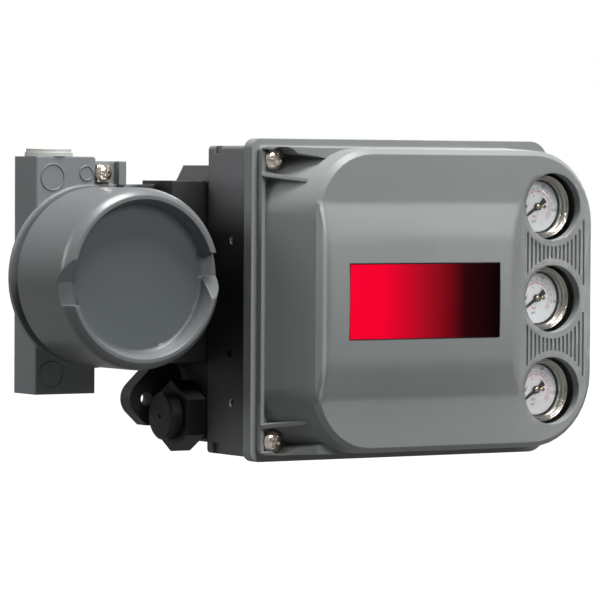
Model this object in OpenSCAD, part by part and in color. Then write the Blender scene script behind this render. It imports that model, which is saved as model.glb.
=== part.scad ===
// Digital valve positioner: a cast housing with a screw-capped terminal box, a module base that carries
// the converter, the relay, the electronics and three pressure gauges, and a lift-off front cover.
// Millimetres. The rear mounting face lies on y = 0, the front looks along -Y and +Z is up.
// The origin is the middle of the four mounting holes.

/* [Cover] */
// Width of the cover's flange
cover_w = 179.5; // [174:0.5:190]
// Height of the cover's flange
cover_h = 160; // [156:1:172]
// Thickness of the flange
flange_t = 7; // [6:0.5:9]
// Corner radius of the flange
flange_r = 5; // [4:0.5:8]
// Step from the flange's edge in to the rim
ledge = 3.4; // [2.5:0.1:4.5]
// Height of the rim above the flange
rim_h = 4; // [3:0.5:5]
// Height of the front panel above the back of the cover
pad_h = 40; // [36:0.5:46]
// Corner radius of the front panel beside the screws
pad_left_r = 33; // [30:0.5:35]
// Corner radius of the front panel round the gauges
pad_right_r = 37; // [32:0.5:40]
// Draft of the side walls from the rim up to the panel
pad_draft = 1.5; // [1:0.1:2.5]
// Width of the bevel round the front panel
edge_bevel = 2.6; // [1.5:0.1:4]
// How far the ramp beside the screws leans in
ramp_run = 13.3; // [11:0.1:16]
// How far the gauge side stands out past the flange
gauge_overhang = 5.6; // [4:0.1:8]
// Wall thickness of the cover
cover_wall = 3; // [2.5:0.1:3.5]
// Height of the raised island above the panel
island_rise = 4; // [3:0.1:5]
// Extra height of the island's crown in the middle
crown_rise = 1.4; // [1:0.1:2]
// Height of the island's top face
island_h = 68; // [60:1:76]
// Width of the island's upper and lower slopes
island_slope = 14.2; // [12:0.1:16]
// Length of the slope at the island's gauge end
island_end = 9; // [7:0.1:12]
// From the gauge column to the island's foot
island_gap = 20.4; // [20:0.1:22]
// Width of the nameplate
label_w = 89.8; // [80:0.1:96]
// Height of the nameplate
label_h = 37.4; // [30:0.1:42]
// From the island's foot to the nameplate's near edge
label_gap = 15.8; // [14:0.1:20]
// Thickness of the nameplate
label_t = 0.6; // [0.4:0.1:0.8]

/* [Cover screws] */
// From the flange's side to the screw's axis
screw_side = 11.1; // [10.6:0.1:12]
// From the flange's top to the screw's axis
screw_drop = 10.2; // [10.2:0.1:12]
// Radius of the screw's head
screw_head_r = 5.6; // [4.5:0.1:5.6]
// Height of the screw's head
screw_head_h = 3.8; // [3:0.1:5]
// Radius of the screw's thread
screw_r = 2.5; // [2:0.1:3]
// Tilt of the gussets beside the screw in degrees
gusset_tilt = 11; // [8:0.5:14]
// Thickness of the free gusset
gusset_t = 2.1; // [1.5:0.1:3]

/* [Gauges] */
// From the cover's top edge down to the upper gauge's axis
gauge_drop = 33.3; // [31:0.1:36]
// From the cover's gauge side to the gauge column
gauge_edge = 25.7; // [24:0.1:28]
// Radius of the gauge openings
opening_r = 17; // [16:0.1:18]
// Play between an opening and its gauge
gauge_play = 0.8; // [0.5:0.1:1.5]
// Depth of a gauge behind the panel
gauge_set = 8.8; // [7:0.1:11]
// Length of a gauge case
gauge_len = 18; // [15:0.5:20]
// Width of a gauge's rim
gauge_rim = 2.7; // [2:0.1:3.5]
// Depth of the dial behind the gauge's rim
dial_drop = 5.5; // [4.5:0.1:7]
// Thickness of the dial
dial_t = 0.8; // [0.5:0.1:1.2]
// Thickness of the gauge glass
lens_t = 1.6; // [1:0.1:2]
// Radius of a gauge's threaded stem
stem_r = 4.9; // [4:0.1:5.5]
// Number of grip grooves between two gauges
groove_count = 15; // [9:1:17]
// Distance between neighbouring grooves
groove_pitch = 2.49; // [2.2:0.01:2.6]
// Width of a groove
groove_w = 1.1; // [0.8:0.1:1.4]
// Depth of a groove
groove_d = 0.9; // [0.5:0.1:1.2]
// Solid band left round each opening
groove_gap = 3.4; // [2.5:0.1:4.5]

/* [Housing] */
// Step from the cover's edge in to the housing
housing_inset = 3.5; // [2:0.1:4]
// Width of the housing's front rim
housing_wall = 4.7; // [4:0.1:6]
// Depth of the housing's front section
front_depth = 40; // [36:0.5:44]
// Depth of the housing's rear section
rear_depth = 34; // [33:0.5:42]
// Thickness of the rear mounting plate
plate_t = 10; // [8:0.5:12]
// Step from the cover's side in to the rear section
rear_inset = 4.2; // [4:0.1:6]
// Step from the cover's top edge down to the rear section
rear_step = 13.3; // [10:0.1:16]
// Step from the cover's bottom edge up to the rear section
rear_lift = 7; // [5:0.1:9]
// Wall thickness of the rear section
rear_wall = 8; // [6:0.5:9]
// Sideways distance between the mounting holes
mount_w = 203.7; // [201:0.1:212]
// Height of the upper mounting holes above the cover's centre line
mount_up = 44.3; // [43:0.1:46]
// Depth of the lower mounting holes below the cover's centre line
mount_down = 52.3; // [50:0.1:54]
// Radius of the mounting holes
mount_r = 3.5; // [3:0.1:4]
// Radius of the mounting ears
ear_r = 9.9; // [8:0.1:10.5]
// Radius of the air connections
port_r = 5.6; // [5:0.1:6.5]
// Depth of the air connections
port_len = 15; // [12:0.5:16]
// Distance between the air connections
port_pitch = 34; // [30:0.5:38]

/* [Module] */
// Set-back of the module base behind the housing's front
module_set = 3; // [2:0.1:4]
// Thickness of the module base
module_t = 14; // [12:0.5:16]
// Thickness of the module gasket
gasket_t = 1; // [0.5:0.1:1.5]
// Play round the module base
module_play = 0.5; // [0.3:0.1:1]
// Height of the electronics cup
board_h = 31; // [26:0.5:33]
// Height of the relay
relay_h = 29; // [24:0.5:32]
// Height of the converter's base block
converter_h = 20; // [16:0.5:24]

/* [Terminal box] */
// From the cover's side out to the terminal box's axis
box_out = 53.1; // [52.5:0.1:58]
// Height of the terminal box's axis above the cover's centre line
box_up = 10.7; // [9:0.1:12]
// From the back of the cover to the front of the cap
cap_back = 5; // [2:0.1:8]
// Length of the cap
cap_len = 49; // [44:0.5:52]
// Outer radius of the cap
cap_r = 44.8; // [43:0.1:46]
// Depth of the recess in the cap's front
cap_recess = 8; // [6:0.1:9]
// Width of the cap's raised ring
cap_ring_w = 5.6; // [4.5:0.1:7]
// Width of the floor of the tool notches in the ring
notch_w = 11.4; // [8:0.1:14]
// Length of the ramp at one end of each notch
notch_ramp = 11; // [8:0.1:14]
// Radius of the threaded neck
neck_r = 39.6; // [38:0.1:40]
// Length of thread that the cap screws on to
thread_len = 9.6; // [8:0.1:12]
// Gap between the cap and the box's collar
collar_gap = 4.4; // [4:0.1:6]
// Width of the conduit block
block_w = 34; // [30:0.1:36]
// Depth of the conduit block
block_d = 23; // [22.5:0.1:26]
// Height of the conduit block
block_h = 118.4; // [110:0.1:124]
// From the box's axis out to the block's far face
block_out = 31; // [29:0.1:33]
// Radius of the conduit entries
conduit_r = 9.4; // [9:0.1:10]
// Depth of the conduit entries' thread
conduit_len = 20; // [16:0.5:22]

/* [Feedback] */
// Radius of the feedback shaft
shaft_r = 5; // [4:0.1:6]
// Running clearance of the shaft in its bush
shaft_play = 0.04; // [0.02:0.01:0.08]
// Length of the feedback arm from the shaft to its tip
arm_len = 72; // [60:1:72]
// Height of the shaft above the cover's centre line
shaft_up = 6; // [4:0.5:10]
// Width of the drive pin's slot in the arm
slot_w = 6.4; // [5:0.1:8]

/* [Hidden] */
$fn = 64;
blend_fn = 40;
// Small overshoot of a cut past the face that it opens
cut = 0.5;
// Gap between a plain piece and its hole
slip = 0.1;
// Gap round a threaded or moving piece
play = 0.3;

// Levels along Y
y_part = -(front_depth + rear_depth + plate_t);
y_rear = -plate_t;
y_module = y_part + module_set;
y_ledge = y_module + module_t + gasket_t;
y_step = y_part + front_depth;
// The drawing is made about the cover's centre line and then moved to the middle of the mounting holes
mount_shift = (mount_down - mount_up) / 2;

// Cover outlines
flange_x = cover_w / 2;
flange_z = cover_h / 2;
rim_x0 = -flange_x + ledge;
rim_x1 = flange_x + gauge_overhang;
rim_z = flange_z - ledge;
rim_t = 2.2;
foot_lean = 0.5;
pad_x0 = rim_x0 + ramp_run;
pad_x1 = rim_x1;
pad_z = rim_z - pad_draft;
seat_w = housing_inset + housing_wall;
gauge_x = rim_x1 - gauge_edge;
gauge_pitch = flange_z - gauge_drop;
// The seat between cover and housing bulges out round the gauges so that the cover lifts off past them
gauge_ledge = 1.2;
seat_x1 = rim_x1 + gauge_ledge;
seat_z = rim_z + gauge_ledge;
seat_r = pad_right_r + gauge_ledge;
island_x1 = gauge_x - island_gap;
island_lean = (ramp_run - foot_lean) / (pad_h - edge_bevel - flange_t);
island_top = pad_h + island_rise + crown_rise;
crown_r = (pow(island_h / 2, 2) + pow(crown_rise, 2)) / (2 * crown_rise);
label_x1 = island_x1 - label_gap;
label_floor = island_top - 0.9;
pocket_floor = flange_t + 1.5;
pocket_w = 40;
gusset_h = pad_h - 10;
gusset_run = 23.1;
free_run = 14.6;
gusset_len = 48;
screw_x = -flange_x + screw_side;
screw_z = flange_z - screw_drop;
screw_boss_r = 5.6;
screw_reach = 12;
head_play = 0.4;
seal_w = 2.8;
seal_d = 2;
seal_in = housing_inset + 0.9;
collar_len = 2;
mouth_r = pad_right_r - 10;
collar_t = 2;

// Gauges
gauge_r = opening_r - gauge_play;
gauge_h = pad_h - gauge_set;
dial_r = gauge_r - gauge_rim;
dial_h = gauge_h - dial_drop;
gauge_zero = 215;
gauge_hex_r = 7;
gauge_hex_h = gauge_h + module_set - gauge_len;
lens_set = 0.9;
lens_r = dial_r + 0.6;

// Housing
house_x = flange_x - housing_inset;
house_z = flange_z - housing_inset;
house_r = 5;
rear_x = flange_x - rear_inset;
rear_top = flange_z - rear_step;
rear_drop = flange_z - rear_lift;
rear_cut_x = 4.7;
rear_cut_z = 8.6;
rear_cut_low = 1.5;
plate_relief = 6.2;
house_low = 1.7;
ledge_w = 12;
hole_depth = 4;
side_hole_r = 2.1;
ear_angle = 43;
ear_slope = 12;
ear_drop = 13.6;
port_y = y_step + 10;
port_boss_r = 11;
port_boss_h = 4;
passage_r = 6;

// Module base and what it carries
module_x = flange_x - seat_w - module_play;
module_z = flange_z - seat_w - module_play;
module_screw_x = flange_x - seat_w - 6;
module_screw_r = 2.5;
module_head_r = 4.4;
module_head_h = 4;
board_x0 = -module_x + 14;
board_w = 44;
board_z = 44;
board_set = 6;
board_d = 18;
board_gap = 3;
plug_w = 7;
plug_len = 20;
plug_h = 5;
switch_w = 12;
converter_x = 14;
converter_z = 34;
converter_w = 40;
converter_d = 46;
coil_r = 15;
coil_h = 8;
relay_x = converter_x;
relay_z = -26;
relay_w = 44;
relay_d = 56;
disc_r = 11;
disc_t = 6;
small_screw_r = 1.6;
small_head_r = 3;
small_head_h = 2.2;
screw_grip = 8;

// Terminal box
box_x = -flange_x - box_out;
cap_y1 = y_part + cap_back + cap_len;
cap_inner_r = neck_r + 0.4;
neck_y0 = cap_y1 - thread_len;
collar_y = cap_y1 + collar_gap;
collar_t_box = 2.8;
collar_r = cap_r + 1;
chamber_r = 35;
chamber_wall = 7;
well_r = 27;
block_x0 = box_x - block_out;
block_mid = box_up + 0.7;
block_r = 1;
block_top_r = 2.3;
block_y0 = collar_y + 1.6;
block_y1 = block_y0 + block_d;
conduit_x = block_x0 + 13.3;
conduit_y = (block_y0 + block_y1) / 2;
arm_x1 = -rear_x - gasket_t;
arm_x0 = arm_x1 - 19.6;
arm_y0 = y_step + 2;
arm_y1 = y_rear - 2;
arm_up = 48.2;
arm_down = 43.5;
arm_wall = 5;
arm_grip = 9;
lead_y = y_rear - 13;
lead_r = 4;
board_y = block_y1 - chamber_wall - 3;
ground_half = 4.4;
ground_near = 3.2;
ground_x = block_x0 + block_w + ground_near + 0.3;
ground_z = box_up + collar_r + ground_half + 1.4;
ear_top = ground_z + 6.6;
strip_x = 14;
strip_z = 20;
strip_d = 16;
strip_floor = 11;
strip_base = 6;
strip_screw_r = 1.3;
strip_head_r = 2.1;
well_pitch = 6.5;
seal_wire = 1.3;

// Vent
vent_y = y_step + 16.2;
vent_r = 8.6;
vent_collar_r = 14;
vent_z = -rear_drop + vent_collar_r - 1;
vent_collar_h = 1.2;
vent_hex_r = 18;
vent_hex_h = 11.3;
vent_cap_r = 12;
vent_cap_h = 6.5;

// Feedback
bush_r = 8;
bush_flange_r = 10;
bush_flange_t = 1.5;
sensor_r = 17;
sensor_len = 20;
hub_r = 9;
hub_y0 = 1;
hub_y1 = 17;
arm_t = 5;
arm_w = 16;
clamp_y = hub_y0 + 0.5 + arm_t / 2;
slot_len = 26;
spring_wire = 0.8;
spring_r = hub_r + spring_wire + 0.12;
spring_turns = 3;
spring_pitch = 2.1;

// The level at height h above the back of the cover
function level(h) = y_part - h;

// Everything is drawn about the cover's centre line and shifted as one
module placed() {
  translate([0, 0, mount_shift]) children();
}

// A plate with an outline in x and z, from y_back forward by depth
module plate(y_back, depth) {
  translate([0, y_back, 0]) rotate([90, 0, 0]) linear_extrude(depth) children();
}

// A plate with an outline in y and z, from x0 to x1
module side_plate(x0, x1) {
  translate([x0, 0, 0]) rotate([90, 0, 90]) linear_extrude(x1 - x0) children();
}

// A round bar along Y
module bar_y(x, z, y0, y1, r) {
  translate([x, y1, z]) rotate([90, 0, 0]) cylinder(r = r, h = y1 - y0);
}

// A round bar along X
module bar_x(y, z, x0, x1, r) {
  translate([x0, y, z]) rotate([0, 90, 0]) cylinder(r = r, h = x1 - x0);
}

// A block given by its corners
module block(low, high) {
  translate(low) cube(high - low);
}

// A rounded rectangle with one radius at the left corners and one at the right
module rounded_box(x0, x1, z0, z1, left_r, right_r) {
  polygon([[x0 + left_r, z0], [x1 - right_r, z0], [x1, z0 + right_r], [x1, z1 - right_r],
           [x1 - right_r, z1], [x0 + left_r, z1], [x0, z1 - left_r], [x0, z0 + left_r]]);
  for (z = [z0 + left_r, z1 - left_r]) translate([x0 + left_r, z]) circle(left_r);
  for (z = [z0 + right_r, z1 - right_r]) translate([x1 - right_r, z]) circle(right_r);
}

// A fillister screw along Y with its seat at y0, its head in front and its thread behind
module screw_y(x, z, y0, head_r, head_h, r, len) {
  difference() {
    bar_y(x, z, y0 - head_h, y0, head_r);
    block([x - head_r, y0 - head_h - cut, z - head_r / 8], [x + head_r, y0 - head_h * 0.6, z + head_r / 8]);
  }
  bar_y(x, z, y0 - head_h / 2, y0 + len, r);
}

// A pan head screw along Y with its seat at y0, a domed head with a cross recess and a plain thread
module pan_screw_y(x, z, y0, head_r, head_h, r, len) {
  difference() {
    translate([x, y0, z]) rotate([90, 0, 0]) rotate_extrude()
      polygon([[0, 0], [head_r, 0], [head_r, head_h * 0.4], [head_r * 0.94, head_h * 0.62],
               [head_r * 0.8, head_h * 0.81], [head_r * 0.6, head_h * 0.92], [head_r * 0.3, head_h * 0.98],
               [0, head_h]]);
    translate([x, y0 - head_h, z]) rotate([0, 20, 0]) for (a = [0, 90]) rotate([0, a, 0])
      block([-head_r * 0.56, -cut, -head_r * 0.11], [head_r * 0.56, head_h * 0.5, head_r * 0.11]);
  }
  bar_y(x, z, y0 - head_h / 4, y0 + len, r);
}

// Cover

// The outline of the seat between cover and housing, in by a step
module seat_outline(in, left_r, right_r) {
  rounded_box(-flange_x + in, flange_x - in, -flange_z + in, flange_z - in, left_r, right_r);
  rounded_box(0, seat_x1 - in, -seat_z + in, seat_z - in, 1, seat_r - in);
}

// The drafted body of the cover, shrunk by in on all sides: foot, panel edge and bevel
module cover_body(in, h0) {
  top = pad_h - in;
  edge = top - edge_bevel;
  lean = island_lean * (h0 - flange_t) + foot_lean;
  hull() {
    plate(level(h0), 0.2)
      rounded_box(rim_x0 + lean + in, rim_x1 - in, -rim_z + in, rim_z - in, pad_left_r - in, pad_right_r - in,
                  $fn = blend_fn);
    plate(level(edge - 0.2), 0.2)
      rounded_box(pad_x0 + in, pad_x1 - in, -pad_z + in, pad_z - in, pad_left_r - in, pad_right_r - in,
                  $fn = blend_fn);
    plate(level(top - 0.2), 0.2)
      rounded_box(pad_x0 + in + edge_bevel, pad_x1 - in - edge_bevel, -pad_z + in + edge_bevel,
                  pad_z - in - edge_bevel, pad_left_r - in - edge_bevel, pad_right_r - in - edge_bevel,
                  $fn = blend_fn);
  }
}

// Section of the island in z and height: two slopes and a crowned top
module island_section(in) {
  half = island_h / 2;
  shoulder = pad_h + island_rise - in;
  polygon([[-half - island_slope + in, pad_h - in - 1.5], [-half - island_slope + in, pad_h - in],
           [-half + in / 2, shoulder], [half - in / 2, shoulder],
           [half + island_slope - in, pad_h - in], [half + island_slope - in, pad_h - in - 1.5]]);
  intersection() {
    translate([0, shoulder + crown_rise - crown_r]) circle(crown_r, $fn = 360);
    translate([-half + in / 2, shoulder - 1]) square([island_h - in, crown_rise + 2]);
  }
}

// The raised island: its section carried along X and cut to the ramp at one end and a slope at the other
module island(in) {
  x_edge = pad_x0 + in + island_lean * (island_rise + edge_bevel / 2);
  rise = island_top - in + 1;
  intersection() {
    translate([-flange_x, y_part, 0]) rotate([90, 0, 90])
      linear_extrude(cover_w) rotate(90) island_section(in);
    translate([0, y_part, -flange_z]) linear_extrude(cover_h)
      polygon([[pad_x0 + in + edge_bevel / 2, -(pad_h - in - 1.5)],
               [x_edge, -(island_top - in - edge_bevel)], [x_edge + edge_bevel, -(island_top - in)],
               [x_edge + edge_bevel, -rise], [island_x1 - island_end - in, -rise],
               [island_x1 - island_end - in, -(island_top - in)], [island_x1 - in, -(pad_h - in)],
               [island_x1 - in, -(pad_h - in - 1.5)]]);
  }
}

// A gusset beside a cover screw: a wall that climbs from the rim and runs into the ramp
module gusset(z_top, t, run) {
  translate([rim_x0, 0, z_top]) rotate([0, gusset_tilt, 0]) translate([0, y_part, -t]) linear_extrude(t)
    polygon([[0, -flange_t + 1], [0, -flange_t - rim_h], [run, -gusset_h], [gusset_len, -gusset_h],
             [gusset_len, -flange_t + 1]]);
}

// The two gussets of one screw pocket
module pocket_gussets() {
  intersection() {
    union() {
      gusset(rim_z + 8, 9.4, gusset_run);
      gusset(rim_z - 13.2, gusset_t, free_run);
    }
    plate(level(flange_t - 1), pad_h)
      rounded_box(rim_x0, rim_x1, -rim_z, rim_z, flange_r - 2, pad_right_r);
    side_plate(-flange_x, flange_x)
      polygon([[level(0), -rim_z], [level(flange_t), -rim_z], [level(pad_h), -pad_z], [level(pad_h), pad_z],
               [level(flange_t), rim_z], [level(0), rim_z]]);
  }
}

// Grip grooves between two gauges, each ending on a circle round the openings
module grip_grooves() {
  guard = opening_r + groove_gap;
  first = -6.3 * groove_pitch;
  for (side = [-1, 1], i = [0:groove_count - 1]) {
    dx = first + i * groove_pitch;
    end = sqrt(max(guard * guard - dx * dx, 1));
    half = gauge_pitch / 2 - end;
    if (half > groove_w)
      block([gauge_x + dx - groove_w / 2, level(pad_h + cut), side * gauge_pitch / 2 - half],
            [gauge_x + dx + groove_w / 2, level(pad_h - groove_d), side * gauge_pitch / 2 + half]);
  }
}

module cover() {
  placed() color("darkgray") difference() {
    union() {
      difference() {
        union() {
          plate(y_part, flange_t) seat_outline(0, flange_r, flange_r + 6);
          plate(level(flange_t - 1), rim_h + 1)
            rounded_box(rim_x0, rim_x1, -rim_z, rim_z, flange_r - 2, pad_right_r);
        }
        for (m = [0, 1]) mirror([0, 0, m])
          block([rim_x0 + rim_t, level(pad_h), rim_z - pocket_w],
                [rim_x0 + pocket_w, level(pocket_floor), rim_z - rim_t]);
      }
      cover_body(0, flange_t - 1);
      island(0);
      for (m = [0, 1]) mirror([0, 0, m]) pocket_gussets();
      for (i = [-1, 0, 1])
        bar_y(gauge_x, i * gauge_pitch, level(pad_h - 1), level(pad_h - cover_wall - collar_len),
              opening_r + collar_t);
    }
    // Inner space: a straight mouth inside the seal, then the body and the island one wall thinner
    difference() {
      union() {
        plate(y_part + cut, flange_t + 2.5 + cut) seat_outline(seat_w, pad_left_r - cover_wall, mouth_r);
        cover_body(cover_wall, flange_t + 2);
        island(cover_wall);
      }
      for (i = [-1, 0, 1])
        bar_y(gauge_x, i * gauge_pitch, level(pad_h), level(pad_h - cover_wall - collar_len),
              opening_r + collar_t);
    }
    for (i = [-1, 0, 1])
      bar_y(gauge_x, i * gauge_pitch, level(pad_h + cut), level(pad_h - cover_wall - collar_len - cut),
            opening_r);
    grip_grooves();
    block([label_x1 - label_w - slip, level(island_top + 1), -label_h / 2 - slip],
          [label_x1 + slip, level(label_floor), label_h / 2 + slip]);
    for (m = [-1, 1]) {
      bar_y(screw_x, m * screw_z, level(pad_h), level(pocket_floor), screw_head_r + head_play);
      bar_y(screw_x, m * screw_z, level(pocket_floor + 1), y_part + cut, screw_r + play);
    }
    // Groove for the seal
    plate(y_part + cut, seal_d + cut) difference() {
      seal_outline(0);
      seal_outline(seal_w);
    }
  }
}

// Outline of the seal's groove, in by a further step
module seal_outline(in) {
  seat_outline(seal_in + in, flange_r - 2 - in / 2, flange_r - 2 - in / 2);
}

module cover_seal() {
  placed() color("dimgray") plate(y_part, seal_d) difference() {
    seal_outline(slip);
    seal_outline(seal_w - slip);
  }
}

module nameplate() {
  placed() color("crimson")
    plate(level(label_floor), label_t)
      rounded_box(label_x1 - label_w, label_x1, -label_h / 2, label_h / 2, 1, 1);
}

module cover_screw(side) {
  placed() color("silver") {
    y0 = level(pocket_floor);
    pan_screw_y(screw_x, side * screw_z, y0, screw_head_r, screw_head_h, screw_r, pocket_floor + screw_reach);
  }
}

// Gauges

module gauge_case(i) {
  placed() color("lightgray") translate([gauge_x, level(gauge_h), i * gauge_pitch]) {
    difference() {
      rotate([-90, 0, 0]) rotate_extrude()
        polygon([[0, dial_drop + dial_t], [dial_r, dial_drop + dial_t], [dial_r, lens_set + lens_t],
                 [lens_r, lens_set + lens_t], [lens_r, 0.4], [lens_r + 0.3, 0], [gauge_r - 0.3, 0],
                 [gauge_r, 0.3], [gauge_r, gauge_len - 2], [gauge_r - 2, gauge_len], [0, gauge_len]]);
      rotate([-90, 0, 0]) cylinder(r = 1.1, h = dial_drop + dial_t + 3);
    }
    rotate([-90, 0, 0]) translate([0, 0, gauge_len - 1])
      cylinder(r = gauge_hex_r, h = gauge_hex_h + 1, $fn = 6);
    rotate([-90, 0, 0]) translate([0, 0, gauge_len])
      cylinder(r = stem_r, h = gauge_h + module_set - gauge_len + 10);
  }
}

module gauge_dial(i) {
  placed() color("whitesmoke") difference() {
    bar_y(gauge_x, i * gauge_pitch, level(dial_h), level(dial_h - dial_t), dial_r - slip);
    bar_y(gauge_x, i * gauge_pitch, level(dial_h + 1), level(dial_h - dial_t - 1), 1.1);
  }
}

module gauge_lens(i) {
  placed() color("lightcyan", 0.4)
    bar_y(gauge_x, i * gauge_pitch, level(gauge_h - lens_set), level(gauge_h - lens_set - lens_t),
          lens_r - slip);
}

// Needle with a counterweight tail on a hub and a thin arbor
module gauge_pointer(i) {
  needle = dial_r - 3.2;
  tail = dial_r * 0.42;
  placed() color("black") translate([gauge_x, level(dial_h), i * gauge_pitch]) {
    rotate([90, 0, 0]) {
      translate([0, 0, play + 0.2]) linear_extrude(0.5) rotate(gauge_zero)
        polygon([[-tail, -1.5], [-tail, 1.5], [-2, 0.8], [needle - 4, 0.7], [needle, 0], [needle - 4, -0.7],
                 [-2, -0.8]]);
      translate([0, 0, play]) cylinder(r = 1.9, h = 1.5);
      translate([0, 0, -3]) cylinder(r = 0.8, h = 3.5);
    }
  }
}

// Housing

// Rear section: a rectangle with its corners cut
module rear_outline() {
  polygon([[-rear_x, -rear_drop + rear_cut_low], [-rear_x + rear_cut_low, -rear_drop],
           [rear_x - rear_cut_low, -rear_drop], [rear_x, -rear_drop + rear_cut_low],
           [rear_x, rear_top - rear_cut_z], [rear_x - rear_cut_x, rear_top],
           [-rear_x + rear_cut_x, rear_top], [-rear_x, rear_top - rear_cut_z]]);
}

// Mounting plate: the rear section's outline with its two upper corners stepped in
module plate_outline() {
  z0 = rear_top - rear_cut_z - 1;
  difference() {
    rear_outline();
    for (m = [0, 1]) mirror([m, 0])
      polygon([[-rear_x - 1, z0], [-rear_x + plate_relief, z0],
               [-rear_x + plate_relief + rear_cut_x, rear_top + 1], [-rear_x - 1, rear_top + 1]]);
  }
}

// Height at which an ear's flank at angle a meets the housing
function flank_end(a, root) = ear_r * cos(a) + (root + ear_r * sin(a)) * tan(a);

// A mounting ear: a round tip with straight flanks that spread towards the housing
module ear_outline(up, down) {
  root = mount_w / 2 - rear_x + 2;
  circle(ear_r);
  polygon([[-ear_r * sin(up), ear_r * cos(up)], [root, flank_end(up, root)], [root, -flank_end(down, root)],
           [-ear_r * sin(down), -ear_r * cos(down)]]);
}

// The upper ears stay flatter above, below the top of the terminal box's arm
module rear_ears() {
  for (m = [0, 1]) mirror([m, 0]) {
    translate([-mount_w / 2, mount_up]) ear_outline(ear_slope, ear_angle);
    translate([-mount_w / 2, -mount_down]) intersection() {
      ear_outline(ear_angle, ear_angle);
      translate([-ear_r, -ear_drop]) square([mount_w / 2, 3 * ear_drop]);
    }
  }
}

module housing() {
  cavity_x = rear_x - rear_wall;
  placed() color("gray") difference() {
    union() {
      plate(y_step, front_depth) {
        seat_outline(housing_inset, house_r - 3, house_r);
        rounded_box(-house_x, house_x - 2 * house_r, -house_z - house_low, -house_z / 2, house_r - 3, house_r - 3);
      }
      plate(y_rear, rear_depth + 1) rear_outline();
      plate(0, plate_t) {
        plate_outline();
        rear_ears();
      }
      for (i = [-1, 0, 1]) bar_x(port_y, i * port_pitch, rear_x - 1, rear_x + port_boss_h, port_boss_r);
    }
    // Seat of the module base, with the posts of the cover screws left standing
    difference() {
      plate(y_ledge, y_ledge - y_part + cut)
        rounded_box(-flange_x + seat_w, flange_x - seat_w, -flange_z + seat_w, flange_z - seat_w, house_r,
                    house_r);
      for (m = [-1, 1]) bar_y(screw_x, m * screw_z, y_part, y_ledge, screw_boss_r);
    }
    // Inner space with the walls of the air connections left standing
    difference() {
      block([-cavity_x, y_ledge - cut, -rear_drop + rear_wall - 2.5],
            [cavity_x, y_rear, rear_top - rear_wall]);
      for (i = [-1, 0, 1])
        bar_x(port_y, i * port_pitch, rear_x + port_boss_h - port_len - 4, rear_x, port_boss_r);
      for (x = [-1, 1], z = [-1, 1])
        block([x * module_screw_x - 6, y_ledge - cut, screw_row(x) * z - 7],
              [x * module_screw_x + 6, y_ledge + screw_grip + 6, screw_row(x) * z + 7]);
    }
    for (i = [-1, 0, 1])
      bar_x(port_y, i * port_pitch, rear_x + port_boss_h - port_len, rear_x + port_boss_h + cut, port_r);
    for (m = [-1, 1]) bar_y(screw_x, m * screw_z, y_part - cut, y_part + screw_reach + 1, screw_r + play);
    for (x = [-1, 1], z = [-1, 1])
      bar_y(x * module_screw_x, screw_row(x) * z, y_ledge - cut, y_ledge + screw_grip + 1,
            module_screw_r + slip);
    for (x = [-1, 1], z = [mount_up, -mount_down]) bar_y(x * mount_w / 2, z, y_rear - cut, cut, mount_r);
    bar_y(0, shaft_up, y_rear - cut, cut, bush_r);
    for (m = [-1, 1])
      bar_y(m * (sensor_r + 3), shaft_up, y_rear - cut, y_rear + 6, small_screw_r + slip);
    bar_x(vent_y, vent_z, -rear_x - cut, -cavity_x + cut, vent_r);
    bar_x(lead_y, box_up, -rear_x - cut, -cavity_x + cut, lead_r + play);
    for (m = [-1, 1])
      bar_x(box_screw_y(), box_up + m * box_screw_z(), -rear_x - cut, -cavity_x + cut,
            module_screw_r + slip);
    for (p = [[17, 29.4], [16.7, -51.9], [19.3, -27.5]])
      bar_x(y_part + p[0], p[1], -house_x - cut, -house_x + hole_depth, side_hole_r);
    // Notches at the two ends of the housing's left side
    for (m = [0, 1]) mirror([0, 0, m])
      block([-house_x - cut, y_step - 12, house_z - 4],
            [-house_x + 2, y_step - 5, house_z + house_low + cut]);
  }
}

// Height of the module screws: clear of the gauges on the gauge side
function screw_row(side) = side > 0 ? gauge_pitch / 2 : 45;
function box_screw_y() = y_step + 10;
function box_screw_z() = 34;

// Module base

module module_outline(in) {
  difference() {
    rounded_box(-module_x + in, module_x - in, -module_z + in, module_z - in, house_r, house_r);
    for (m = [-1, 1]) translate([screw_x, m * screw_z]) circle(screw_boss_r + module_play + in);
  }
}

module module_base() {
  placed() color("slategray") difference() {
    plate(y_module + module_t, module_t) module_outline(0);
    // Lightening pocket in the back
    plate(y_module + module_t + cut, module_t / 2) difference() {
      rounded_box(-module_x + ledge_w + 2, module_x - 40, -module_z + ledge_w, module_z - ledge_w, 6, 6);
      for (x = [-1, 1], z = [-1, 1]) translate([x * module_screw_x, z * screw_row(x)]) circle(9);
    }
    for (i = [-1, 0, 1]) bar_y(gauge_x, i * gauge_pitch, y_module - cut, y_module + 11, stem_r + slip);
    for (x = [-1, 1], z = [-1, 1])
      bar_y(x * module_screw_x, screw_row(x) * z, y_module - cut, y_module + module_t + cut,
            module_screw_r + slip);
    for (p = small_screw_spots())
      bar_y(p[0], p[1], y_module - cut, y_module + module_t / 2 - 1, small_screw_r + slip);
    bar_y(lead_x(), lead_z(), y_module + module_t / 2 - 2, y_module + module_t + cut, lead_r + slip);
  }
}

module module_gasket() {
  placed() color("black") plate(y_module + module_t + gasket_t, gasket_t) difference() {
    module_outline(0);
    rounded_box(-module_x + ledge_w - 2, module_x - ledge_w + 2, -module_z + ledge_w - 2,
                module_z - ledge_w + 2, 6, 6);
    for (x = [-1, 1], z = [-1, 1])
      translate([x * module_screw_x, z * screw_row(x)]) circle(module_screw_r + slip);
  }
}

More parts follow.
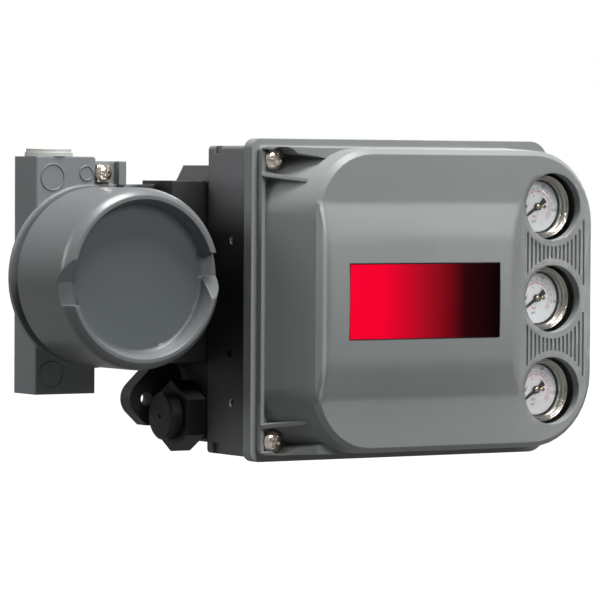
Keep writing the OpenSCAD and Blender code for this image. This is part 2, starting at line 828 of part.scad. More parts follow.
module module_screws() {
  placed() color("silver") for (x = [-1, 1], z = [-1, 1])
    screw_y(x * module_screw_x, screw_row(x) * z, y_module, module_head_r, module_head_h, module_screw_r,
            module_t + gasket_t + screw_grip);
}

// Where the small screws of the electronics, the converter and the relay go into the module base
function board_spots() = [for (z = [-1, 1]) [board_x0 + board_w / 2, z * (board_z + 4.5)]];
function converter_spots() = [for (x = [-1, 1]) [converter_x + x * (converter_w / 2 + 4), converter_z]];
function relay_spots() = [for (x = [-1, 1]) [relay_x + x * (relay_w / 2 + 4), relay_z]];
function small_screw_spots() = concat(board_spots(), converter_spots(), relay_spots());
function lead_x() = board_x0 + 12;
function lead_z() = box_up;
lug_t = 3;

// A pair of round lugs that hold a piece down on the module base
module lugs(spots) {
  for (p = spots) bar_y(p[0], p[1], y_module - lug_t, y_module, 5);
}

module lug_holes(spots) {
  for (p = spots) bar_y(p[0], p[1], y_module - lug_t - cut, y_module + cut, small_screw_r + slip);
}

module lug_screws(spots) {
  for (p = spots)
    screw_y(p[0], p[1], y_module - lug_t, small_head_r, small_head_h, small_screw_r,
            lug_t + module_t / 2 - 2);
}

module electronics_cup() {
  x1 = board_x0 + board_w;
  placed() color("saddlebrown") difference() {
    union() {
      plate(y_module, board_h) rounded_box(board_x0, x1, -board_z, board_z, 5, 5);
      lugs(board_spots());
    }
    plate(y_module - board_set, board_h)
      rounded_box(board_x0 + 2.5, x1 - 2.5, -board_z + 2.5, board_z - 2.5, 3, 3);
    lug_holes(board_spots());
  }
}

// The printed board in the cup with its connectors and its switch
module electronics_board() {
  y_top = y_module - board_set - board_d;
  x0 = board_x0 + board_gap;
  x1 = board_x0 + board_w - board_gap;
  placed() color("darkgreen") {
    plate(y_module - board_set, board_d)
      rounded_box(x0, x1, -board_z + board_gap, board_z - board_gap, board_gap, board_gap);
    for (z = [-plug_len - plug_h, plug_h])
      block([x0 + plug_h, y_top - plug_h, z], [x0 + plug_h + plug_w, y_top + 1, z + plug_len]);
    block([x1 - switch_w - 2, y_top - plug_h + 1, plug_len / 2], [x1 - 2, y_top + 1, plug_len]);
    bar_y(x1 - switch_w / 2 - 2, -plug_len, y_top - plug_h + 1, y_top + 1, switch_w / 3);
  }
}

module electronics_screws() {
  placed() color("silver") lug_screws(board_spots());
}

// Current to pressure converter: a base block, a round coil cover and two pins
module converter() {
  placed() color("goldenrod") difference() {
    union() {
      plate(y_module, converter_h)
        rounded_box(converter_x - converter_w / 2, converter_x + converter_w / 2, converter_z - converter_d / 2,
                    converter_z + converter_d / 2, 6, 6);
      bar_y(converter_x, converter_z, y_module - converter_h - coil_h, y_module - converter_h + 1, coil_r);
      for (x = [-1, 1])
        bar_y(converter_x + x * 4, converter_z + 19, y_module - converter_h - 4,
              y_module - converter_h + 1, 1.2);
      lugs(converter_spots());
    }
    lug_holes(converter_spots());
  }
}

module converter_screws() {
  placed() color("silver") lug_screws(converter_spots());
}

// Pneumatic relay: a stack of diaphragm plates with the stem of the adjusting disc below
module relay() {
  placed() color("silver") difference() {
    union() {
      for (i = [0:3]) {
        t = (relay_h - 5) / 4;
        in = i % 2 == 0 ? 0 : 1.5;
        plate(y_module - i * t, t)
          rounded_box(relay_x - relay_w / 2 + in, relay_x + relay_w / 2 - in, relay_z - relay_d / 2 + in,
                      relay_z + relay_d / 2 - in, 6, 6);
      }
      lugs(relay_spots());
      translate([relay_x, y_module - relay_h / 2, relay_z - relay_d / 2 - disc_t - 2 * play - 1])
        cylinder(r = 3, h = disc_t + 2 * play + 3);
      translate([relay_x, y_module - relay_h / 2, relay_z - relay_d / 2 - disc_t - 2 * play - 3])
        cylinder(r = 5, h = 2);
    }
    lug_holes(relay_spots());
  }
}

module relay_shroud() {
  y1 = y_module - (relay_h - 5);
  placed() color("dimgray") difference() {
    plate(y1, 5) rounded_box(relay_x - relay_w / 2 + 2, relay_x + relay_w / 2 - 2, relay_z - relay_d / 2 + 2,
                             relay_z + relay_d / 2 - 2, 5, 5);
    block([relay_x - 12, y1 - 5 - cut, relay_z - 14], [relay_x + 12, y1 - 3, relay_z + 14]);
  }
}

module relay_screws() {
  placed() color("silver") lug_screws(relay_spots());
}

// Adjusting disc with finger notches on the relay's stem
module relay_disc() {
  placed() color("dimgray")
    translate([relay_x, y_module - relay_h / 2, relay_z - relay_d / 2 - disc_t - play]) difference() {
      cylinder(r = disc_r, h = disc_t - play);
      translate([0, 0, -cut]) cylinder(r = 3 + play, h = disc_t + 2 * cut);
      for (a = [0:45:315]) rotate(a) translate([disc_r + 0.8, 0, -cut]) cylinder(r = 2, h = disc_t + 2 * cut);
    }
}

// Terminal box

// Front lug beside the ground screw and the ear that the screw sits on
module ground_ear() {
  x0 = block_x0 + block_w - 2;
  block([x0, block_y0 + 1, ear_top - 14], [x0 + 17.6, block_y0 + 10, ear_top - 0.5]);
  block([x0 + 13.4, block_y0 - 3, ear_top - 12.6], [x0 + 17.6, block_y0 + 10, ear_top - 0.5]);
}

module terminal_box() {
  z0 = block_mid - block_h / 2;
  placed() color("gray") difference() {
    union() {
      bar_y(box_x, box_up, collar_y, collar_y + collar_t_box, collar_r);
      intersection() {
        bar_y(box_x, box_up, collar_y + 1, block_y1, chamber_r + chamber_wall);
        block([block_x0 + block_r, collar_y, z0], [box_x + collar_r, block_y1, z0 + block_h]);
      }
      bar_y(box_x, box_up, neck_y0, collar_y + 1, neck_r);
      intersection() {
        translate([0, 0, z0]) linear_extrude(block_h)
          rounded_box(block_x0, block_x0 + block_w, block_y0, block_y1, block_r, block_r);
        plate(block_y1 + 1, block_y1 - block_y0 + 2)
          rounded_box(block_x0 - 1, block_x0 + block_w, z0 - 2 * block_top_r, z0 + block_h, 0.5, block_top_r);
      }
      // The arm to the housing: a deep flange and a slimmer web
      difference() {
        block([arm_x0, arm_y0, box_up - arm_down], [arm_x1, arm_y1, box_up + arm_up]);
        bar_y(box_x, box_up, arm_y0 - cut, collar_y + 1, cap_r + 1.2);
      }
      block([box_x, collar_y + 1, box_up - arm_down + 4.5], [arm_x0 + 1, arm_y1, box_up + arm_up - 2]);
      ground_ear();
    }
    bar_y(box_x, box_up, neck_y0 - cut, collar_y + 2, chamber_r);
    bar_y(box_x, box_up, collar_y + 1, block_y1 - chamber_wall, well_r);
    for (m = [0, 1]) translate([conduit_x, conduit_y, block_mid]) mirror([0, 0, m]) {
      translate([0, 0, block_h / 2 - conduit_len]) cylinder(r = conduit_r, h = conduit_len + cut);
      cylinder(r = conduit_r - 1.6, h = block_h / 2 - cut);
    }
    // Wire passage, and a cored pocket in the arm's back above and below it
    bar_x(lead_y, box_up, box_x, arm_x1 + cut, lead_r + play);
    for (m = [0, 1]) translate([0, 0, box_up]) mirror([0, 0, m])
      block([arm_x0 - 10, arm_y0 + 22, 10], [arm_x1 - arm_grip - 2, arm_y1 + cut, arm_down - arm_wall]);
    bar_y(ground_x, ground_z, block_y0 - cut, block_y0 + 9, 2.5 + slip);
    for (m = [-1, 1])
      bar_x(box_screw_y(), box_up + m * box_screw_z(), arm_x1 - arm_grip, arm_x1 + cut,
            module_screw_r + slip);
  }
}

module terminal_box_gasket() {
  placed() color("black") difference() {
    block([arm_x1, arm_y0 + 1, box_up - arm_down + 1],
          [arm_x1 + gasket_t, arm_y1 - 1, rear_top - rear_cut_z - 1]);
    bar_x(lead_y, box_up, arm_x1 - cut, arm_x1 + gasket_t + cut, lead_r + play);
    for (m = [-1, 1])
      bar_x(box_screw_y(), box_up + m * box_screw_z(), arm_x1 - cut, arm_x1 + gasket_t + cut,
            module_screw_r + slip);
  }
}

// Screws from inside the housing into the arm
module terminal_box_screws() {
  x = -rear_x + rear_wall;
  placed() color("silver") for (m = [-1, 1]) {
    bar_x(box_screw_y(), box_up + m * box_screw_z(), x, x + module_head_h, module_head_r);
    bar_x(box_screw_y(), box_up + m * box_screw_z(), arm_x1 - arm_grip + 1, x + 1, module_screw_r);
  }
}

// Terminal strip: a moulded base with a row of wells and walls between them
module terminal_board() {
  y1 = block_y1 - chamber_wall;
  placed() color("darkslategray") difference() {
    union() {
      intersection() {
        bar_y(box_x, box_up, y1 - strip_base, y1, well_r - 1);
        block([box_x - strip_x + 2, y1 - strip_base - cut, box_up - well_r],
              [box_x + well_r, y1 + cut, box_up + well_r]);
      }
      block([box_x - strip_x / 2 - 1, y1 - strip_d, box_up - strip_z],
            [box_x + strip_x, y1 - strip_base + 1, box_up + strip_z]);
    }
    for (i = [-2.5:1:2.5]) {
      block([box_x - strip_x, y1 - strip_d - 1, box_up + (i - 0.37) * well_pitch],
            [box_x + strip_x + 1, y1 - strip_floor, box_up + (i + 0.37) * well_pitch]);
      bar_y(box_x + strip_x / 5, box_up + i * well_pitch, y1 - strip_floor - 1, y1 - strip_base,
            strip_screw_r + slip);
    }
  }
}

module terminal_screws() {
  y1 = block_y1 - chamber_wall;
  placed() color("silver") for (i = [-2.5:1:2.5])
    screw_y(box_x + strip_x / 5, box_up + i * well_pitch, y1 - strip_floor, strip_head_r, strip_head_r,
            strip_screw_r, strip_floor - strip_base - cut);
}

// Screw cap: a deep cup with a raised, slotted ring round its front
module terminal_cap() {
  face = cap_len - cap_recess;
  ring_r = cap_r - 2.7;
  placed() color("gray") translate([box_x, cap_y1, box_up]) rotate([90, 0, 0]) difference() {
    rotate_extrude() polygon([
      [cap_inner_r, 0], [cap_r - 0.6, 0], [cap_r, 0.6], [cap_r, cap_len - 6], [cap_r - 0.5, cap_len - 3.6],
      [ring_r, cap_len - 0.7], [ring_r - 1, cap_len], [ring_r - cap_ring_w + 2.6, cap_len],
      [ring_r - cap_ring_w + 0.4, face + 2], [ring_r - cap_ring_w - 0.4, face + 0.6],
      [ring_r - cap_ring_w - 2, face], [0, face], [0, face - cover_wall], [chamber_r + 1, face - cover_wall],
      [chamber_r + 1, thread_len + 3], [cap_inner_r, thread_len + 2]]);
    // Two tool notches in the ring, each with a steep end and a ramp
    for (a = [0, 180]) rotate(a) translate([ring_r - cap_ring_w - 3, 0, 0]) rotate([90, 0, 90])
      linear_extrude(cap_ring_w + 7)
        polygon([[1.2 - notch_ramp, cap_len], [1.2, face], [1.2 + notch_w, face], [1.2 + notch_w, cap_len + 1],
                 [1.2 - notch_ramp, cap_len + 1]]);
    translate([0, 0, thread_len / 2]) rotate([0, 90, -60]) cylinder(r = 2 + slip, h = cap_r + 1);
  }
}

module cap_lock_screw() {
  placed() color("silver") translate([box_x, cap_y1, box_up]) rotate([90, 0, 0])
    translate([0, 0, thread_len / 2]) rotate([0, 90, -60]) difference() {
      translate([0, 0, cap_inner_r + 0.2]) cylinder(r = 2, h = cap_r - cap_inner_r - 0.8);
      translate([0, 0, cap_r - 2]) cylinder(r = 1, h = 3, $fn = 6);
    }
}

module cap_seal() {
  placed() color("black") translate([box_x, cap_y1 + seal_wire + 0.05, box_up]) rotate([90, 0, 0])
    rotate_extrude() translate([neck_r + seal_wire + play, 0]) circle(seal_wire);
}

// Moulded plug in the upper conduit entry
module conduit_plug() {
  placed() color("beige") translate([conduit_x, conduit_y, block_mid + block_h / 2]) rotate_extrude()
    polygon([[0, 3], [0, 4.2], [10.8, 4.2], [11.4, 3.7], [11.4, 2], [12, 2], [12, 0],
             [conduit_r - play, 0], [conduit_r - play - 0.6, -conduit_len + 2],
             [conduit_r - play - 2.2, -conduit_len + 2], [conduit_r - play - 2.2, 3]]);
}

module ground_clamp() {
  placed() color("silver") difference() {
    block([ground_x - ground_near, block_y0 - 0.6, ground_z - ground_half],
          [ground_x + ground_half, block_y0 + 1, ground_z + ground_half]);
    bar_y(ground_x, ground_z, block_y0 - 1, block_y0 + 2, 2.5 + slip);
  }
}

module ground_screw() {
  placed() color("silver") pan_screw_y(ground_x, ground_z, block_y0 - 0.6, 4.4, 3, 2.5, 8.5);
}

// The lead from the terminal board through the arm to the back of the module base
module wiring_lead() {
  y_end = y_module + module_t / 2 - 2;
  placed() color("black") {
    bar_x(lead_y, box_up, box_x + strip_x, lead_x(), lead_r);
    translate([lead_x(), lead_y, box_up]) sphere(lead_r);
    bar_y(lead_x(), lead_z(), y_end, lead_y, lead_r);
  }
}

// Vent
module exhaust_vent() {
  x = -rear_x;
  placed() color("black") difference() {
    union() {
      bar_x(vent_y, vent_z, x - vent_collar_h, x, vent_collar_r);
      translate([x - vent_collar_h - vent_hex_h, vent_y, vent_z]) rotate([0, 90, 0])
        cylinder(r = vent_hex_r, h = vent_hex_h, $fn = 6);
      bar_x(vent_y, vent_z, x - 1, x + rear_wall, vent_r - play);
    }
    bar_x(vent_y, vent_z, x - vent_collar_h - vent_hex_h + 2, x + rear_wall + cut, 5);
    bar_x(vent_y, vent_z, x - vent_collar_h - vent_hex_h - cut, x - vent_collar_h, 3);
  }
}

module vent_cap() {
  x = -rear_x - vent_collar_h - vent_hex_h;
  placed() color("black") translate([x, vent_y, vent_z]) rotate([0, -90, 0]) rotate_extrude()
    polygon([[1, vent_cap_h], [vent_cap_r - 1, vent_cap_h], [vent_cap_r, vent_cap_h - 1], [vent_cap_r, 0],
             [7, 0], [7, vent_cap_h - 2], [1, vent_cap_h - 2]]);
}

// Feedback

module travel_sensor() {
  placed() color("darkslateblue") difference() {
    union() {
      bar_y(0, shaft_up, y_rear - sensor_len, y_rear, sensor_r);
      for (m = [-1, 1]) bar_y(m * (sensor_r + 3), shaft_up, y_rear - 4, y_rear, 5);
    }
    bar_y(0, shaft_up, y_rear - bush_flange_t - slip, y_rear + cut, bush_flange_r + play);
    bar_y(0, shaft_up, y_rear - sensor_len + 4, y_rear + cut, shaft_r + play);
    for (m = [-1, 1]) bar_y(m * (sensor_r + 3), shaft_up, y_rear - 5, y_rear + cut, small_screw_r + slip);
  }
}

module sensor_screws() {
  placed() color("silver") for (m = [-1, 1])
    screw_y(m * (sensor_r + 3), shaft_up, y_rear - 4, small_head_r, small_head_h, small_screw_r, 9);
}

module feedback_bush() {
  placed() color("peru") difference() {
    union() {
      bar_y(0, shaft_up, y_rear, 0, bush_r - 0.05);
      bar_y(0, shaft_up, y_rear - bush_flange_t, y_rear, bush_flange_r);
    }
    bar_y(0, shaft_up, y_rear - bush_flange_t - cut, cut, shaft_r + shaft_play);
  }
}

module feedback_shaft() {
  placed() color("silver") bar_y(0, shaft_up, y_rear - sensor_len + 5, hub_y1 - 1, shaft_r);
}

// Feedback arm: a split hub and a tapering bar with the drive pin's slot
module feedback_arm() {
  placed() color("lightslategray") translate([0, 0, shaft_up]) difference() {
    union() {
      bar_y(0, 0, hub_y0, hub_y1, hub_r);
      translate([0, hub_y0 + 0.5 + arm_t, 0]) rotate([90, 0, 0]) linear_extrude(arm_t) {
        polygon([[-hub_r, 0], [hub_r, 0], [arm_w / 2 - 1, -arm_len + arm_w / 2],
                 [-arm_w / 2 + 1, -arm_len + arm_w / 2]]);
        translate([0, -arm_len + arm_w / 2]) circle(arm_w / 2 - 1);
      }
      block([-6, hub_y0 + 0.5, hub_r - 2], [6, hub_y0 + 0.5 + arm_t, hub_r + 8]);
    }
    bar_y(0, 0, hub_y0 - cut, hub_y1 + cut, shaft_r + 0.05);
    block([-0.8, hub_y0 - cut, 0], [0.8, hub_y0 + 1 + arm_t, hub_r + 9]);
    translate([0, 0, hub_r + 4]) bar_x(clamp_y, 0, -7, 7, small_screw_r + slip);
    // Slot with round ends for the drive pin
    for (z = [0, slot_len - slot_w])
      bar_y(0, -arm_len + 5 + slot_w / 2 + z, hub_y0, hub_y0 + arm_t + 1, slot_w / 2);
    block([-slot_w / 2, hub_y0, -arm_len + 5 + slot_w / 2],
          [slot_w / 2, hub_y0 + arm_t + 1, -arm_len + 5 + slot_len - slot_w / 2]);
  }
}

module arm_clamp_screw() {
  placed() color("silver") translate([0, 0, shaft_up + hub_r + 4]) {
    bar_x(clamp_y, 0, -9, -6, small_head_r - 0.5);
    bar_x(clamp_y, 0, -7, 6, small_screw_r);
  }
}

// Points of the bias spring: a coil round the hub that ends in a straight leg along the slot
function spring_path() =
  let (steps = 24, first = 90)
  concat([for (i = [0:steps * spring_turns])
            let (a = first + 360 * i / steps)
            [spring_r * cos(a), hub_y0 + arm_t + 2.4 + spring_pitch * i / steps, spring_r * sin(a)]]);

// A wire of n sides swept along a path that winds round the Y axis
module wire_coil(path, r, n) {
  last = len(path) - 1;
  points = [for (p = path) let (d = norm([p[0], p[2]]), u = [p[0] / d, 0, p[2] / d])
              for (k = [0:n - 1]) p + r * (cos(360 * k / n) * u + sin(360 * k / n) * [0, 1, 0])];
  sides = [for (i = [0:last - 1], k = [0:n - 1])
             [i * n + k, i * n + (k + 1) % n, (i + 1) * n + (k + 1) % n, (i + 1) * n + k]];
  polyhedron(points, concat(sides, [[for (k = [n - 1:-1:0]) k]], [[for (k = [0:n - 1]) last * n + k]]));
}

module bias_spring() {
  placed() color("gold") translate([0, 0, shaft_up]) wire_coil(spring_path(), spring_wire, 8);
}

housing();
module_base();
module_gasket();
module_screws();
electronics_cup();
electronics_board();
electronics_screws();
converter();
converter_screws();
relay();
relay_shroud();
relay_screws();
relay_disc();
gauge_case(1);  // gauge_case_1
gauge_case(0);  // gauge_case_2
gauge_case(-1);  // gauge_case_3
gauge_dial(1);  // gauge_dial_1
gauge_dial(0);  // gauge_dial_2
gauge_dial(-1);  // gauge_dial_3
gauge_pointer(1);  // gauge_pointer_1
gauge_pointer(0);  // gauge_pointer_2
gauge_pointer(-1);  // gauge_pointer_3
gauge_lens(1);  // gauge_lens_1
gauge_lens(0);  // gauge_lens_2
gauge_lens(-1);  // gauge_lens_3
cover();
cover_seal();
nameplate();
cover_screw(1);  // cover_screw_top
cover_screw(-1);  // cover_screw_bottom
terminal_box();
terminal_box_gasket();
terminal_box_screws();
terminal_board();
terminal_screws();
terminal_cap();
cap_seal();
cap_lock_screw();
conduit_plug();
ground_screw();
ground_clamp();
wiring_lead();
exhaust_vent();
vent_cap();
travel_sensor();
sensor_screws();
feedback_bush();
feedback_shaft();
feedback_arm();
arm_clamp_screw();
bias_spring();
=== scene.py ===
import math

import bpy
import numpy as np
from mathutils import Matrix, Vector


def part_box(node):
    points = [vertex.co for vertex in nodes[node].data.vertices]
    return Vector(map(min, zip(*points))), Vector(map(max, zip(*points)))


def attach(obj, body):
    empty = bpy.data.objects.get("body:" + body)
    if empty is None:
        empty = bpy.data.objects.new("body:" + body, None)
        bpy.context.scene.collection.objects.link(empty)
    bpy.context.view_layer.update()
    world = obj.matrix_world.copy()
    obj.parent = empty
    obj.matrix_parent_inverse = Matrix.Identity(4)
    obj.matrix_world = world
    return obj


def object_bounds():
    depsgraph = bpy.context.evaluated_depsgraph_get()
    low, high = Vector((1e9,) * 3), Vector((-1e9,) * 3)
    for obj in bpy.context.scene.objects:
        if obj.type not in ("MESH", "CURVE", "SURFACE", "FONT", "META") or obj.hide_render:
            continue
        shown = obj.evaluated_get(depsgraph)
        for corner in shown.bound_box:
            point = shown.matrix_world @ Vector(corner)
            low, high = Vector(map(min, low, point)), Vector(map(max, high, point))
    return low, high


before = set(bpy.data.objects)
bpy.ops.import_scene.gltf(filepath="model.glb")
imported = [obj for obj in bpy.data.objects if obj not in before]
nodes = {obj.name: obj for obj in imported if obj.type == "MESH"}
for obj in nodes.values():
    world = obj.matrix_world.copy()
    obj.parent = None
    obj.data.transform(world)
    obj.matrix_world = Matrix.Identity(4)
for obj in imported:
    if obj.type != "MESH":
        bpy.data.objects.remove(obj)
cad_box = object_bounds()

MM = 0.001
GAUGES = (1, 2, 3)
DIAL_START, DIAL_SWEEP = 225.0, 270.0    # degrees: where a dial's scale starts, and how far it runs clockwise
FLOAT, COLOUR, VECTOR = "NodeSocketFloat", "NodeSocketColor", "NodeSocketVector"


def mid(node):
    """Centre of a CAD node's box, in metres."""
    low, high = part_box(node)
    return np.array([(low[i] + high[i]) / 2 for i in range(3)])


# Small tools for shader trees

def fill(tree, target, value):
    """Sets an input socket: to a number, to an RGB triple, or by a link from another socket."""
    if isinstance(value, (int, float)):
        target.default_value = value
    elif isinstance(value, tuple):
        target.default_value = (*value, 1.0)
    else:
        tree.links.new(value, target)


def math_node(tree, op, a, b=None, clamp=False):
    """One Math node; a and b are sockets or numbers. Returns its output."""
    n = tree.nodes.new("ShaderNodeMath")
    n.operation = op
    n.use_clamp = clamp
    fill(tree, n.inputs[0], a)
    if b is not None:
        fill(tree, n.inputs[1], b)
    return n.outputs[0]


def product(tree, first, *others):
    """All the values multiplied."""
    for v in others:
        first = math_node(tree, "MULTIPLY", first, v)
    return first


def rise(tree, value, start, end):
    """Zero where the value is at start, one where it is at end: clamp((value - start) / (end - start))."""
    return math_node(tree, "DIVIDE", math_node(tree, "SUBTRACT", value, start), end - start, True)


def inside(tree, value, low, high, soft):
    """One where low < value < high and zero outside, over a soft band within each limit."""
    return product(tree, rise(tree, value, low, low + soft), rise(tree, value, high, high - soft))


def at_least(tree, value, floor_value):
    """The value scaled to run from floor_value to one: value * (1 - floor_value) + floor_value."""
    return math_node(tree, "ADD", product(tree, value, 1.0 - floor_value), floor_value)


def length(tree, a, b):
    """Length of the flat vector (a, b)."""
    return math_node(tree, "SQRT", math_node(tree, "ADD", product(tree, a, a), product(tree, b, b)))


def split(tree, vector):
    """The x, y and z of a vector."""
    n = tree.nodes.new("ShaderNodeSeparateXYZ")
    tree.links.new(vector, n.inputs[0])
    return n.outputs["X"], n.outputs["Y"], n.outputs["Z"]


def mix_colour(tree, factor, a, b):
    """Mixes two colours by a factor; each is a socket or an RGB triple. Returns the colour."""
    n = tree.nodes.new("ShaderNodeMix")
    n.data_type = "RGBA"
    for s, v in ((n.inputs[0], factor), (n.inputs[6], a), (n.inputs[7], b)):
        fill(tree, s, v)
    return n.outputs[2]


def noise(tree, vector, scale, detail):
    """A noise texture on a vector, with scale a socket or cycles per metre. Returns its value."""
    n = tree.nodes.new("ShaderNodeTexNoise")
    n.inputs["Detail"].default_value = detail
    n.inputs["Roughness"].default_value = 0.55
    tree.links.new(vector, n.inputs["Vector"])
    fill(tree, n.inputs["Scale"], scale)
    return n.outputs["Fac"]


# Shader groups

def socket(group, name, kind, way, value=None):
    """Adds one named socket to a node group."""
    s = group.interface.new_socket(name=name, in_out=way, socket_type=kind)
    if value is not None:
        s.default_value = value


def new_group(name, inputs, outputs):
    """An empty shader group with its inputs (name, kind, value) and outputs (name, kind)."""
    g = bpy.data.node_groups.new(name, "ShaderNodeTree")
    for n, k, v in inputs:
        socket(g, n, k, "INPUT", v)
    for n, k in outputs:
        socket(g, n, k, "OUTPUT")
    return g, g.nodes.new("NodeGroupInput").outputs, g.nodes.new("NodeGroupOutput").inputs


def coat_grain():
    """Grain of a sprayed or moulded skin: a fine noise for the relief, a broad noise that lightens and
    darkens the colour, and sparse specks. Shade = base * (1 + mottle * (broad - 0.5) - specks)."""
    broad_scale, speck_share, speck_level = 26.0, 0.6, 0.71
    g, i, o = new_group("coat_grain",
                        [("Vector", VECTOR, None), ("Colour", COLOUR, (0.5, 0.5, 0.5, 1)),
                         ("Scale", FLOAT, 900.0), ("Mottle", FLOAT, 0.1), ("Specks", FLOAT, 0.1),
                         ("Roughness", FLOAT, 0.5), ("Unevenness", FLOAT, 0.1)],
                        [("Colour", COLOUR), ("Roughness", FLOAT), ("Height", FLOAT)])
    fine = noise(g, i["Vector"], i["Scale"], detail=2.0)
    broad = math_node(g, "SUBTRACT", noise(g, i["Vector"], broad_scale, detail=4.0), 0.5)
    spots = noise(g, i["Vector"], product(g, i["Scale"], speck_share), detail=1.0)
    specks = product(g, math_node(g, "GREATER_THAN", spots, speck_level), i["Specks"])
    shade = math_node(g, "ADD", product(g, broad, i["Mottle"]), 1.0)
    scaled = g.nodes.new("ShaderNodeVectorMath")
    scaled.operation = "SCALE"
    g.links.new(i["Colour"], scaled.inputs[0])
    g.links.new(math_node(g, "SUBTRACT", shade, specks), scaled.inputs["Scale"])
    g.links.new(scaled.outputs[0], o["Colour"])
    uneven = product(g, broad, i["Unevenness"])
    g.links.new(math_node(g, "ADD", i["Roughness"], uneven, True), o["Roughness"])
    g.links.new(fine, o["Height"])
    return g


def turned_marks():
    """Fine turned or brushed lines on metal, from a stretched vector: noise as a height and as a change
    of roughness."""
    g, i, o = new_group("turned_marks",
                        [("Vector", VECTOR, None), ("Roughness", FLOAT, 0.3), ("Depth", FLOAT, 0.15)],
                        [("Roughness", FLOAT), ("Height", FLOAT)])
    lines = noise(g, i["Vector"], scale=1.0, detail=3.0)
    change = product(g, math_node(g, "SUBTRACT", lines, 0.5), i["Depth"])
    g.links.new(math_node(g, "ADD", i["Roughness"], change, True), o["Roughness"])
    g.links.new(lines, o["Height"])
    return g


def scale_marks():
    """Marks of a round scale: a mask that is one where the radius lies between Inner and Outer, the angle
    lies on the scale, and the angle's remainder after dividing by Step is under Width."""
    g, i, o = new_group("scale_marks",
                        [("Radius", FLOAT, 0.0), ("Angle", FLOAT, 0.0), ("Inner", FLOAT, 0.7),
                         ("Outer", FLOAT, 0.8), ("Step", FLOAT, 27.0), ("Width", FLOAT, 2.0)],
                        [("Mask", FLOAT)])
    band = product(g, math_node(g, "GREATER_THAN", i["Radius"], i["Inner"]),
                   math_node(g, "LESS_THAN", i["Radius"], i["Outer"]))
    half = product(g, i["Width"], 0.5)
    left = math_node(g, "MODULO", math_node(g, "ADD", i["Angle"], half), i["Step"])
    line = math_node(g, "LESS_THAN", left, i["Width"])
    on = math_node(g, "LESS_THAN", i["Angle"], math_node(g, "ADD", half, DIAL_SWEEP))
    g.links.new(product(g, line, on, band), o["Mask"])
    return g


GRAIN, TURNED, MARKS = coat_grain(), turned_marks(), scale_marks()


# Materials

def place(tree, group, **values):
    """Puts a shader group into a tree and sets or links its inputs. Returns its outputs."""
    n = tree.nodes.new("ShaderNodeGroup")
    n.node_tree = group
    for k, v in values.items():
        fill(tree, n.inputs[k], v)
    return n.outputs


def new_material(name, rough, metallic=0.0, specular=0.5):
    """A material with one Principled shader. Returns the material, its tree, the shader and Object coordinates."""
    m = bpy.data.materials.new(name)
    m.use_nodes = True
    t = m.node_tree
    p = t.nodes["Principled BSDF"]
    p.inputs["Roughness"].default_value = rough
    p.inputs["Metallic"].default_value = metallic
    p.inputs["Specular IOR Level"].default_value = specular
    return m, t, p, t.nodes.new("ShaderNodeTexCoord").outputs["Object"]


def relief(tree, shader, height, depth, edge=0.0, strength=0.5):
    """A Bump on the shader's normal, over rounded edges where edge is set: a radius, or a socket that gives it."""
    b = tree.nodes.new("ShaderNodeBump")
    b.inputs["Strength"].default_value = strength
    b.inputs["Distance"].default_value = depth
    tree.links.new(height, b.inputs["Height"])
    if edge:
        e = tree.nodes.new("ShaderNodeBevel")
        e.samples = 6
        fill(tree, e.inputs["Radius"], edge)
        tree.links.new(e.outputs[0], b.inputs["Normal"])
    tree.links.new(b.outputs[0], shader.inputs["Normal"])


def skin(tree, shader, at, colour, rough, scale, mottle, specks, uneven=0.1):
    """Lays the grain of a coat on a shader's colour and roughness. Returns the grain's height."""
    g = place(tree, GRAIN, Vector=at, Colour=colour, Scale=scale, Mottle=mottle, Specks=specks,
              Roughness=rough, Unevenness=uneven)
    tree.links.new(g["Colour"], shader.inputs["Base Color"])
    tree.links.new(g["Roughness"], shader.inputs["Roughness"])
    return g["Height"]


def coated(name, colour, rough=0.5, scale=900.0, bump=0.05, mottle=0.2, specks=0.06, edge=0.0, specular=0.5):
    """A sprayed or moulded skin of one colour; bump and edge are in millimetres."""
    m, t, p, at = new_material(name, rough, specular=specular)
    height = skin(t, p, at, colour, rough, scale, mottle, specks, uneven=0.12)
    relief(t, p, height, depth=bump * MM, edge=edge * MM)
    return m


